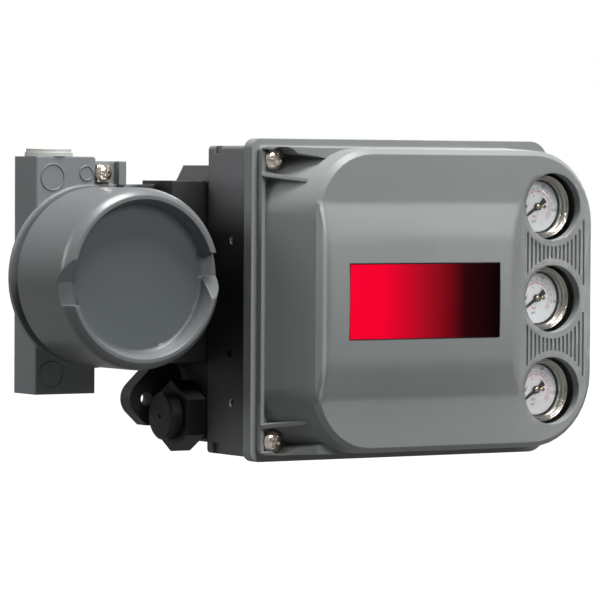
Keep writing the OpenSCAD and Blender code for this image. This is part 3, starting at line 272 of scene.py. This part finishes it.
def cover_coat_and_light(name, colour):
    """The cover's satin skin. Its edges are rounded by 0.8 mm near the grooves, pockets and label, by 4.5 mm on
    the open island and by 7.5 mm between the ramp and the island: radius = 0.8 mm + 3.7 mm * open + 3 mm * roll.
    The island's steep edge beside the ramp is painted lighter: painted light, for the light that a softer roll would
    catch there."""
    rough, soft, label_margin, painted_light_gain = 0.46, 0.003, 0.006, 1.85
    # Areas of the cover's front, in metres: (low, high) in x and in z
    panel_x, panel_z = (-0.074, 0.062), (-0.064, 0.072)
    island_x, island_z = (-0.080, -0.030), (-0.047, 0.055)
    edge_x, edge_z = (-0.0728, -0.0690), (-0.046, 0.054)
    panel_from_x, roll_x, edge_front_y = -0.036, (-0.077, -0.062), -0.1225
    m, t, p, at = new_material(name, rough, specular=0.3)
    x, y, z = split(t, at)
    (x0, _, z0), (x1, _, z1) = label_low, label_high
    label = product(t, inside(t, x, x0 - label_margin, x1 + label_margin, 0.001),
                    inside(t, z, z0 - label_margin, z1 + label_margin, 0.001))
    panel = product(t, inside(t, x, *panel_x, soft), inside(t, z, *panel_z, soft),
                    math_node(t, "GREATER_THAN", x, panel_from_x))
    island = product(t, inside(t, x, *island_x, soft), inside(t, z, *island_z, soft))
    open_part = product(t, math_node(t, "MAXIMUM", panel, island), math_node(t, "SUBTRACT", 1.0, label))
    roll = product(t, inside(t, x, *roll_x, 0.002), island)
    radius = math_node(t, "ADD", product(t, open_part, 3.7 * MM), 0.8 * MM)
    radius = math_node(t, "ADD", product(t, roll, 3.0 * MM), radius)
    # Painted light: the steep edge beside the ramp is lightened, for the light that a softer roll would catch there.
    painted_light_edge = product(t, inside(t, x, *edge_x, 0.0006), inside(t, z, *edge_z, 0.004),
                         math_node(t, "LESS_THAN", y, edge_front_y))
    tone = mix_colour(t, painted_light_edge, colour, tuple(painted_light_gain * c for c in colour))
    height = skin(t, p, at, tone, rough, scale=1400.0, mottle=0.07, specks=0.03, uneven=0.12)
    relief(t, p, height, depth=0.04 * MM, edge=radius)
    return m


def box_coat_and_shade(name, colour, shade):
    """The terminal box's skin: grey on its block, and painted shade on its arm beside the housing, where the cap
    shadows it.
    Dark = clamp((x + 0.122) / 0.006) * (0.88 + 0.12 * clamp((0.066 - z) / 0.030))."""
    rough = 0.45
    m, t, p, at = new_material(name, rough)
    x, _, z = split(t, at)
    # Painted shade: the arm beside the housing is darkened where the cap shadows it, most of all low down.
    arm = rise(t, x, -0.122, -0.116)
    low = at_least(t, rise(t, z, 0.066, 0.036), 0.88)
    tone = mix_colour(t, product(t, arm, low), colour, shade)
    height = skin(t, p, at, tone, rough, scale=700.0, mottle=0.1, specks=0.05)
    relief(t, p, height, depth=0.08 * MM, edge=1.2 * MM)
    return m


def cap_coat(name, colour, face):
    """The cap's paint: its sunk front face is darker and bluer than its body.
    Face = clamp((0.0375 - radius) / 0.0015) where y is within 12 mm of the cap's front."""
    rough = 0.34
    m, t, p, at = new_material(name, rough)
    x, y, z = split(t, at)
    centre = mid("terminal_cap")
    radius = length(t, math_node(t, "SUBTRACT", x, float(centre[0])), math_node(t, "SUBTRACT", z, float(centre[2])))
    near_front = math_node(t, "LESS_THAN", y, float(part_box("terminal_cap")[0][1]) + 0.012)
    tone = mix_colour(t, product(t, rise(t, radius, 0.0375, 0.036), near_front), colour, face)
    height = skin(t, p, at, tone, rough, scale=700.0, mottle=0.08, specks=0.03)
    relief(t, p, height, depth=0.06 * MM, edge=0.8 * MM)
    return m


def housing_coat_and_shade(name, colour, shade):
    """The housing's paint: grey all round, with painted shade on its left side between the terminal box and the vent,
    where the terminal box shadows it.
    Side = clamp((-0.080 - x) / 0.004) * clamp((0.066 - z) / 0.030) * (0.35 + 0.65 * clamp((z + 0.062) / 0.040)).
    The left of its rear section, behind y = -0.0445, carries the painted shade too, by 0.7 of the way."""
    rough = 0.5
    m, t, p, at = new_material(name, rough, specular=0.35)
    x, y, z = split(t, at)
    # Painted shade on the left side, and on the left of the rear section below.
    side = product(t, rise(t, x, -0.080, -0.084), rise(t, z, 0.066, 0.036),
                   at_least(t, rise(t, z, -0.062, -0.022), 0.35))
    rear = product(t, rise(t, y, -0.0445, -0.0435), rise(t, x, -0.074, -0.078), 0.7)
    tone = mix_colour(t, rear, mix_colour(t, side, colour, shade), shade)
    height = skin(t, p, at, tone, rough, scale=600.0, mottle=0.12, specks=0.05)
    relief(t, p, height, depth=0.10 * MM, edge=0.6 * MM)
    return m


def metal(name, colour, rough=0.3, along=(200.0, 4000.0, 200.0), edge=0.0):
    """Bare metal with fine marks, in cycles per metre along each axis; edge is in millimetres."""
    m, t, p, at = new_material(name, rough, metallic=1.0)
    stretch = t.nodes.new("ShaderNodeMapping")
    stretch.inputs["Scale"].default_value = along
    t.links.new(at, stretch.inputs["Vector"])
    marks = place(t, TURNED, Vector=stretch.outputs[0], Roughness=rough)
    tint = place(t, GRAIN, Vector=at, Colour=colour, Scale=1500.0, Mottle=0.12, Specks=0.05)
    t.links.new(tint["Colour"], p.inputs["Base Color"])
    t.links.new(marks["Roughness"], p.inputs["Roughness"])
    relief(t, p, marks["Height"], depth=0.02 * MM, edge=edge * MM, strength=0.3)
    return m


def dial_face(name, centre, radius):
    """White dial with a black outer scale and a red inner scale. Angle runs clockwise from the lower left."""
    rough, white, black, red = 0.45, (0.90, 0.92, 0.94), (0.03, 0.03, 0.035), (0.62, 0.03, 0.06)
    # Ink, inner and outer radius as parts of the dial's, step and width of the marks in degrees
    scales = ((black, 0.66, 0.71, 3.91, 1.1), (black, 0.64, 0.74, 19.57, 1.7), (red, 0.55, 0.60, 5.67, 1.6),
              (red, 0.52, 0.61, 28.3, 2.4), (red, 0.590, 0.605, 1.0, 1.0))
    m, t, p, at = new_material(name, rough)
    shift = t.nodes.new("ShaderNodeMapping")
    shift.inputs["Location"].default_value = tuple(-centre / radius)
    shift.inputs["Scale"].default_value = (1 / radius,) * 3
    t.links.new(at, shift.inputs["Vector"])
    x, _, z = split(t, shift.outputs[0])
    turn = product(t, math_node(t, "ARCTAN2", z, x), -180 / math.pi)
    angle = math_node(t, "MODULO", math_node(t, "ADD", turn, 720.0 + DIAL_START), 360.0)
    r = length(t, x, z)
    colour = white
    for ink, inner, outer, step, width in scales:
        k = place(t, MARKS, Radius=r, Angle=angle, Inner=inner, Outer=outer, Step=step, Width=width)
        colour = mix_colour(t, k["Mask"], colour, ink)
    skin(t, p, at, colour, rough, scale=2500.0, mottle=0.05, specks=0.02)
    return m


def plate_print(name, low, high):
    """Printed film on the nameplate: red on the left that fades to black on the right, with a thin dark edge of painted
    shadow where the plate sits in its recess.
    """
    rough, edge, soft, shadow_edge_colour = 0.6, 0.0003, 0.0002, (0.010, 0.008, 0.008)
    stops = ((0.0, (0.94, 0.001, 0.030)), (0.22, (0.88, 0.001, 0.026)), (0.5, (0.34, 0.004, 0.014)),
             (0.76, (0.022, 0.002, 0.003)), (1.0, (0.002, 0.001, 0.001)))
    m, t, p, at = new_material(name, rough, specular=0.0)
    x, _, z = split(t, at)
    ramp = t.nodes.new("ShaderNodeValToRGB")
    while len(ramp.color_ramp.elements) < len(stops):
        ramp.color_ramp.elements.new(0.5)
    for e, (place_x, c) in zip(ramp.color_ramp.elements, stops):
        e.position = place_x
        e.color = (*c, 1.0)
    t.links.new(rise(t, x, low[0], high[0]), ramp.inputs[0])
    # Painted shadow: a thin dark edge round the printed field.
    field = product(t, inside(t, x, low[0] + edge, high[0] - edge, soft),
                    inside(t, z, low[2] + edge, high[2] - edge, soft))
    colour = mix_colour(t, field, shadow_edge_colour, ramp.outputs[0])
    height = skin(t, p, at, colour, rough, scale=3000.0, mottle=0.06, specks=0.0)
    relief(t, p, height, depth=0.01 * MM)
    return m


def clear_glass(name):
    """Gauge glass: a clear, glossy pane that lets nearly all light through."""
    rough = 0.04
    m, t, p, at = new_material(name, rough)
    p.inputs["Base Color"].default_value = (0.20, 0.22, 0.22, 1)
    p.inputs["Alpha"].default_value = 0.07
    g = place(t, GRAIN, Vector=at, Roughness=rough, Unevenness=0.05)
    t.links.new(g["Roughness"], p.inputs["Roughness"])
    return m


# Finishes of the CAD nodes

def dress(material, *names):
    """Gives CAD nodes one material."""
    for n in names:
        mesh = nodes[n].data
        mesh.materials.clear()
        mesh.materials.append(material)


def soft_shading(angle):
    """Shades a mesh smooth except along edges where its faces turn by more than an angle in degrees."""
    g = bpy.data.node_groups.new(f"soft_shading_{angle:.0f}", "GeometryNodeTree")
    for way in ("INPUT", "OUTPUT"):
        socket(g, "Geometry", "NodeSocketGeometry", way)
    start, end = g.nodes.new("NodeGroupInput"), g.nodes.new("NodeGroupOutput")
    faces, edges = (g.nodes.new("GeometryNodeSetShadeSmooth") for _ in range(2))
    faces.domain, edges.domain = "FACE", "EDGE"
    turn = g.nodes.new("GeometryNodeInputMeshEdgeAngle").outputs["Unsigned Angle"]
    flat = g.nodes.new("FunctionNodeCompare")
    flat.operation = "LESS_EQUAL"
    flat.inputs[1].default_value = math.radians(angle)
    g.links.new(turn, flat.inputs[0])
    g.links.new(start.outputs[0], faces.inputs["Geometry"])
    g.links.new(faces.outputs[0], edges.inputs["Geometry"])
    g.links.new(flat.outputs[0], edges.inputs["Shade Smooth"])
    g.links.new(edges.outputs[0], end.inputs[0])
    return g


def soften(angle, *names):
    """Merged points, soft shading and normals weighted by face size, as modifiers, so that curved faces look round."""
    shading = soft_shading(angle)
    for n in names:
        o = nodes[n]
        o.modifiers.new("merge", "WELD").merge_threshold = 1e-6
        o.modifiers.new("shading", "NODES").node_group = shading
        w = o.modifiers.new("weights", "WEIGHTED_NORMAL")
        w.keep_sharp = True
        w.mode = "FACE_AREA"


label_low, label_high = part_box("nameplate")
cover_skin = cover_coat_and_light("cover_skin", (0.204, 0.214, 0.214))
cap_paint = cap_coat("cap_paint", (0.125, 0.132, 0.136), (0.078, 0.090, 0.099))
# Its second colour is the painted shade on the arm.
box_paint = box_coat_and_shade("box_paint", (0.160, 0.172, 0.176), (0.010, 0.009, 0.009))
# Its second colour is the painted shade on the left side.
housing_paint = housing_coat_and_shade("housing_paint", (0.150, 0.154, 0.160), (0.007, 0.006, 0.006))
vent_moulding = coated("vent_moulding", (0.010, 0.008, 0.008), rough=0.42, scale=1000.0, bump=0.04, specks=0.0,
                       edge=0.5, specular=0.4)
black_rubber = coated("black_rubber", (0.012, 0.012, 0.013), rough=0.7, scale=1500.0, specks=0.0)
plug_moulding = coated("plug_moulding", (0.46, 0.47, 0.44), mottle=0.1, specks=0.04, edge=0.4)
cup_moulding = coated("cup_moulding", (0.05, 0.035, 0.025))
board_resist = coated("board_resist", (0.01, 0.09, 0.03), rough=0.3, scale=500.0, bump=0.03, mottle=0.3)
shroud_moulding = coated("shroud_moulding", (0.03, 0.03, 0.033))
strip_moulding = coated("strip_moulding", (0.02, 0.022, 0.025), rough=0.45)
pointer_paint = coated("pointer_paint", (0.01, 0.01, 0.01), scale=2000.0, bump=0.01, mottle=0.1)
black_ink = coated("black_ink", (0.02, 0.02, 0.022), rough=0.6, scale=3000.0, bump=0.005, specks=0.0)
red_ink = coated("red_ink", (0.55, 0.02, 0.05), rough=0.6, scale=3000.0, bump=0.005, specks=0.0)
nickel = metal("nickel", (0.92, 0.82, 0.72), rough=0.14, edge=0.3)
steel = metal("steel", (0.62, 0.61, 0.58), rough=0.28, edge=0.3)
brass = metal("brass", (0.66, 0.57, 0.42), rough=0.25, edge=0.2)
gauge_plate = metal("gauge_plate", (0.60, 0.57, 0.53), rough=0.20, along=(60.0, 60.0, 60.0), edge=0.3)
bezel_plate = metal("bezel_plate", (0.60, 0.56, 0.51), rough=0.17, along=(8.0, 8.0, 8.0))
machined = metal("machined", (0.52, 0.53, 0.54), rough=0.35, along=(3000.0, 150.0, 150.0))
gold_plate = metal("gold_plate", (0.60, 0.42, 0.16))
bronze = metal("bronze", (0.42, 0.25, 0.11), rough=0.4)
glass = clear_glass("glass")

dress(cover_skin, "cover")
dress(cap_paint, "terminal_cap")
dress(box_paint, "terminal_box")
dress(housing_paint, "housing")
dress(vent_moulding, "exhaust_vent", "vent_cap")
dress(black_rubber, "module_gasket", "cover_seal", "terminal_box_gasket", "cap_seal", "wiring_lead")
dress(plug_moulding, "conduit_plug")
dress(cup_moulding, "electronics_cup")
dress(board_resist, "electronics_board")
dress(shroud_moulding, "relay_shroud", "relay_disc")
dress(strip_moulding, "terminal_board", "travel_sensor")
dress(nickel, "cover_screw_top", "cover_screw_bottom", "ground_screw", "ground_clamp")
dress(steel, "module_screws", "electronics_screws", "converter_screws", "relay_screws", "terminal_box_screws",
      "terminal_screws", "cap_lock_screw", "sensor_screws", "feedback_shaft", "feedback_arm", "arm_clamp_screw",
      "bias_spring")
dress(machined, "module_base", "relay")
dress(gold_plate, "converter")
dress(bronze, "feedback_bush")
dress(plate_print("plate_print", label_low, label_high), "nameplate")
for i in GAUGES:
    dress(gauge_plate, f"gauge_case_{i}")
    low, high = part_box(f"gauge_dial_{i}")
    dress(dial_face(f"dial_face_{i}", mid(f"gauge_dial_{i}"), (high[0] - low[0]) / 2), f"gauge_dial_{i}")
    dress(pointer_paint, f"gauge_pointer_{i}")
    dress(glass, f"gauge_lens_{i}")

soften(12.5, "cover")
soften(28, "terminal_cap", "terminal_box", "housing", "exhaust_vent", "vent_cap", "conduit_plug", "cap_seal",
       "cover_screw_top", "cover_screw_bottom", "ground_screw", "ground_clamp", "gauge_case_1", "gauge_case_2",
       "gauge_case_3", "feedback_shaft", "feedback_arm", "feedback_bush", "bias_spring")


# Pieces that only the picture needs

def show(name, mesh, body):
    """Puts a mesh into the scene as a piece that rides a body."""
    o = bpy.data.objects.new(name, mesh)
    bpy.context.collection.objects.link(o)
    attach(o, body)


def build(name, points, faces, material, body):
    """A smooth piece from points and faces in the shared frame."""
    mesh = bpy.data.meshes.new(name)
    mesh.from_pydata(np.asarray(points).tolist(), [], faces)
    mesh.materials.append(material)
    mesh.polygons.foreach_set("use_smooth", np.ones(len(mesh.polygons), bool))
    show(name, mesh, body)


def turned(name, centre, profile, material, body, n=40):
    """A piece turned about an axis along Y. Point = centre + (r cos a, -h, r sin a) for each (r, h) of the
    profile in millimetres and each of n angles a; the profile starts and ends on the axis with one pole each."""
    r, h = np.array(profile[1:-1]).T * MM
    a = np.arange(n) * 2 * math.pi / n
    rings = np.stack([np.outer(r, np.cos(a)), -np.outer(h, np.ones(n)), np.outer(r, np.sin(a))], -1)
    poles = np.array([[0, -profile[0][1] * MM, 0], [0, -profile[-1][1] * MM, 0]])
    points = np.concatenate([rings.reshape(-1, 3), poles]) + np.asarray(centre)
    k = np.arange(n)
    nxt = (k + 1) % n
    rows = np.arange(len(r) - 1)[:, None] * n
    quads = np.stack([rows + k, rows + n + k, rows + n + nxt, rows + nxt], -1).reshape(-1, 4).tolist()
    last = (len(r) - 1) * n
    first_fan = np.stack([np.full(n, len(r) * n), k, nxt], -1).tolist()
    last_fan = np.stack([np.full(n, len(r) * n + 1), last + nxt, last + k], -1).tolist()
    build(name, points, quads + first_fan + last_fan, material, body)


def ring(name, centre, profile, material, body, axis="y", n=64):
    """A ring turned about an axis along Y or X: a closed profile of (radius, height) points in millimetres carried
    round it. Along Y a point is centre + (r cos a, -h, r sin a), along X it is centre + (-h, r cos a, r sin a).
    The faces are turned round where the volume that they enclose comes out negative."""
    r, h = np.array(profile).T[:, :, None] * MM
    a = np.arange(n) * 2 * math.pi / n
    c, d, e = r * np.cos(a), -h * np.ones(n), r * np.sin(a)
    points = np.stack([c, d, e] if axis == "y" else [d, c, e], -1).reshape(-1, 3)
    k = np.arange(n)
    rows = np.arange(len(profile))[:, None] * n
    after = (rows + n) % (len(profile) * n)
    quads = np.stack([rows + k, after + k, after + (k + 1) % n, rows + (k + 1) % n], -1).reshape(-1, 4)
    q = points[quads]
    if np.einsum("ij,ij->i", q[:, 0], np.cross(q[:, 1] - q[:, 0], q[:, 2] - q[:, 0])).sum() < 0:
        quads = quads[:, ::-1]
    build(name, points + np.asarray(centre), quads.tolist(), material, body)


def front_face(node, x, z):
    """The point where a line along +Y at x, z, from well before the part, meets a CAD node first."""
    start_y = -0.5
    _, where, _, _ = nodes[node].ray_cast((x, start_y, z), (0, 1, 0))
    return np.array(where)


def figure(name, words, centre, size, material, body):
    """Figures of a dial as a flat mesh facing forward, centred on a point, with their size in millimetres."""
    c = bpy.data.curves.new(name, "FONT")
    c.body = words
    c.size = size * MM
    c.align_x, c.align_y = "CENTER", "CENTER"
    text = bpy.data.objects.new(name + "_text", c)
    bpy.context.collection.objects.link(text)
    bpy.context.view_layer.update()
    mesh = bpy.data.meshes.new_from_object(text.evaluated_get(bpy.context.evaluated_depsgraph_get()))
    bpy.data.objects.remove(text)
    mesh.name = name
    mesh.transform(Matrix.Translation(tuple(centre)) @ Matrix.Rotation(math.pi / 2, 4, "X"))
    mesh.materials.clear()
    mesh.materials.append(material)
    show(name, mesh, body)


# Profiles of a gauge's small pieces as (radius, height) in millimetres
BEZEL = [(14.12, -0.3), (14.12, 0.10), (14.3, 0.26), (14.7, 0.26), (14.82, 0.06), (14.95, 0.06), (15.05, 0.34),
         (15.35, 0.36), (15.45, 0.10), (15.58, 0.10), (15.68, 0.32), (15.95, 0.28), (16.12, 0.05), (16.12, -0.3)]
# A thin black ring on each dial's face, round its edge
DIAL_DARK_RING = [(12.85, 0.0), (12.85, 0.35), (13.05, 0.5), (13.35, 0.5), (13.35, 0.0)]
DIAL_HUB = [(0, 2.25), (0.8, 2.2), (1.3, 2.05), (1.6, 1.75), (1.6, 1.7), (0, 1.7)]
# Two screws and the stop pin: x and z as parts of the dial's radius, and their own radius in millimetres
DIAL_SCREWS = ((-0.53, 0.0, 1.15), (0.33, 0.0, 1.15), (-0.52, -0.47, 0.75))
# Figures with their part of the scale, then the radius as a part of the dial's, the size and the ink
DIAL_FIGURES = (((("0", 0.0), ("40", 0.29), ("80", 0.58), ("120", 0.87)), 0.83, 2.2, black_ink),
                ((("2", 0.21), ("4", 0.42), ("6", 0.63), ("8", 0.84)), 0.42, 1.9, red_ink))
# Units with their x and z as parts of the dial's radius, and the ink
DIAL_UNITS = (("bar", -0.10, -0.37, red_ink), ("psi", -0.13, -0.55, black_ink))
UNIT_SIZE = 2.3
INK_LIFT = np.array([0, -0.03 * MM, 0])

for i in GAUGES:
    low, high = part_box(f"gauge_dial_{i}")
    face = mid(f"gauge_dial_{i}")
    face[1] = low[1]
    dial = (high[0] - low[0]) / 2
    rim = np.array([face[0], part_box(f"gauge_case_{i}")[0][1], face[2]])
    ring(f"bezel_{i}", rim, BEZEL, bezel_plate, "base", n=128)
    ring(f"dial_seal_{i}", face, DIAL_DARK_RING, black_rubber, "base", n=96)
    turned(f"dial_hub_{i}", face, DIAL_HUB, brass, f"pointer_{i}")
    for k, (x, z, r) in enumerate(DIAL_SCREWS):
        dome = [(0, 0.4), (r * 0.5, 0.38), (r * 0.85, 0.3), (r, 0.12), (r, 0.0), (0, 0.0)]
        turned(f"dial_screw_{i}_{k}", face + dial * np.array([x, 0, z]), dome, brass, "base", n=24)
    for figures, radius, size, ink in DIAL_FIGURES:
        for words, part in figures:
            a = math.radians(DIAL_START - DIAL_SWEEP * part)
            spot = face + dial * radius * np.array([math.cos(a), 0, math.sin(a)]) + INK_LIFT
            figure(f"dial_figure_{i}_{words}_{ink.name}", words, spot, size, ink, "base")
    for words, x, z, ink in DIAL_UNITS:
        spot = face + dial * np.array([x, 0, z]) + INK_LIFT
        figure(f"dial_unit_{i}_{words}", words, spot, UNIT_SIZE, ink, "base")

# Bare raised rings on the conduit block's front: x, z and radius in millimetres
CAST_RINGS = ((-164.5, 64.3, 6.5), (-165.1, -34.1, 6.5), (-145.4, 66.4, 3.6))
for k, (x, z, r) in enumerate(CAST_RINGS):
    spot = front_face("terminal_box", x * MM, z * MM)
    bead = [(r - 0.5, -0.3), (r - 0.35, 0.25), (r, 0.4), (r + 0.35, 0.25), (r + 0.5, -0.3)]
    ring(f"cast_ring_{k}", spot, bead, box_paint, "base")

# Threads in two of the housing's side holes: mouth of the holes, their y and z, and the threads' profile in millimetres
HOLE_MOUTH_X, SIDE_HOLES = -86.2, ((-67.0, 33.4), (-67.3, -47.9))
THREAD = [(1.72 if k % 2 else 2.04, -0.35 * k) for k in range(11)] + [(2.09, -3.6), (2.09, 0.05)]
for k, (y, z) in enumerate(SIDE_HOLES):
    ring(f"hole_thread_{k}", (HOLE_MOUTH_X * MM, y * MM, z * MM), THREAD, steel, "base", axis="x", n=32)


# Stage: a pale floor below the part, soft lamps and the camera of the photograph

def seen(tree, gloss):
    """One to the camera and through glass, a lesser share to gloss, and nothing to other light."""
    ray = tree.nodes.new("ShaderNodeLightPath").outputs
    shine = product(tree, ray["Is Glossy Ray"], gloss)
    return math_node(tree, "MAXIMUM", ray["Is Camera Ray"],
                     math_node(tree, "MAXIMUM", shine, ray["Is Transmission Ray"]))


def floor_material():
    """Pale floor that keeps the shadow and looks white to the camera, to gloss and through glass. Its own light
    grows with the distance d from the part, 0.91 + 0.09 * clamp((d - 0.6) / 3), as the lamps' light on it fades."""
    m, t, p, at = new_material("floor", rough=0.9)
    p.inputs["Base Color"].default_value = (0.10, 0.10, 0.10, 1)
    p.inputs["Emission Color"].default_value = (1, 1, 1, 1)
    x, y, _ = split(t, at)
    glow = at_least(t, rise(t, length(t, x, y), 0.6, 3.6), 0.91)
    t.links.new(product(t, seen(t, gloss=0.08), glow), p.inputs["Emission Strength"])
    return m


FLOOR_DROP, FLOOR_SIZE = 0.16, 30.0
bpy.ops.mesh.primitive_plane_add(size=FLOOR_SIZE, location=(0, 0, 0))
floor = bpy.context.object
floor.name = "floor"
floor.data.transform(Matrix.Translation((0, 0, cad_box[0][2] - FLOOR_DROP)))
floor.data.materials.append(floor_material())

AMBIENT, WORLD_GLOSS = 0.03, 0.35
world = bpy.data.worlds.new("studio")
world.use_nodes = True
back = world.node_tree.nodes["Background"]
back.inputs["Color"].default_value = (1, 1, 1, 1)
strength = math_node(world.node_tree, "MAXIMUM", seen(world.node_tree, WORLD_GLOSS), AMBIENT)
world.node_tree.links.new(strength, back.inputs["Strength"])
bpy.context.scene.world = world


def lamp(name, at, towards, size, power, spread=180.0):
    """A square soft lamp at a point, facing another, with its light kept within an angle."""
    d = bpy.data.lights.new(name, "AREA")
    d.size = size
    d.energy = power
    d.spread = math.radians(spread)
    o = bpy.data.objects.new(name, d)
    bpy.context.collection.objects.link(o)
    z = np.array(at, float) - np.array(towards, float)
    z /= np.linalg.norm(z)
    x = np.cross((0, 0, 1), z)
    x /= np.linalg.norm(x)
    m = np.eye(4)
    m[:3, 0], m[:3, 1], m[:3, 2], m[:3, 3] = x, np.cross(z, x), z, at
    o.matrix_world = Matrix(m.tolist())


FRONT, MIDDLE_GAUGE, ORIGIN = (0, -0.1, 0), (0.105, -0.1, 0.004), (0, 0, 0)
lamp("key", (0.0, -0.58, 2.25), FRONT, size=0.9, power=112.0)
lamp("front", (0.45, -2.08, 1.06), FRONT, size=0.9, power=30.0)
lamp("left", (-1.96, 0.81, 0.79), FRONT, size=0.9, power=19.0)
lamp("gauges", (0.45, -2.20, 0.30), MIDDLE_GAUGE, size=0.08, power=0.022, spread=6.0)
lamp("behind", (1.60, 1.30, 0.80), ORIGIN, size=1.0, power=12.0)
lamp("rear", (0.55, 2.20, -0.01), ORIGIN, size=0.12, power=12.0)

# Camera fitted to the photograph: yaw to the right, pitch down, a little roll
YAW, PITCH, ROLL = (math.radians(a) for a in (32.30, 1.79, 0.33))
CAMERA_AT = np.array([-1109.65, -1749.6, 65.3]) * MM
FOCAL_PIXELS, PICTURE_PIXELS, SENSOR = 3951.0, 600.0, 36.0
ahead = np.array([math.sin(YAW) * math.cos(PITCH), math.cos(YAW) * math.cos(PITCH), -math.sin(PITCH)])
right = np.cross(ahead, (0, 0, 1))
right /= np.linalg.norm(right)
up = np.cross(right, ahead)
right, up = math.cos(ROLL) * right + math.sin(ROLL) * up, -math.sin(ROLL) * right + math.cos(ROLL) * up
eye = np.eye(4)
eye[:3, 0], eye[:3, 1], eye[:3, 2], eye[:3, 3] = right, up, -ahead, CAMERA_AT
camera_data = bpy.data.cameras.new("camera")
camera_data.lens = FOCAL_PIXELS / PICTURE_PIXELS * SENSOR
camera_data.sensor_width = SENSOR
camera_data.clip_end = 50.0
camera = bpy.data.objects.new("camera", camera_data)
bpy.context.collection.objects.link(camera)
camera.matrix_world = Matrix(eye.tolist())
bpy.context.scene.camera = camera
bpy.context.scene.view_settings.view_transform = "Standard"
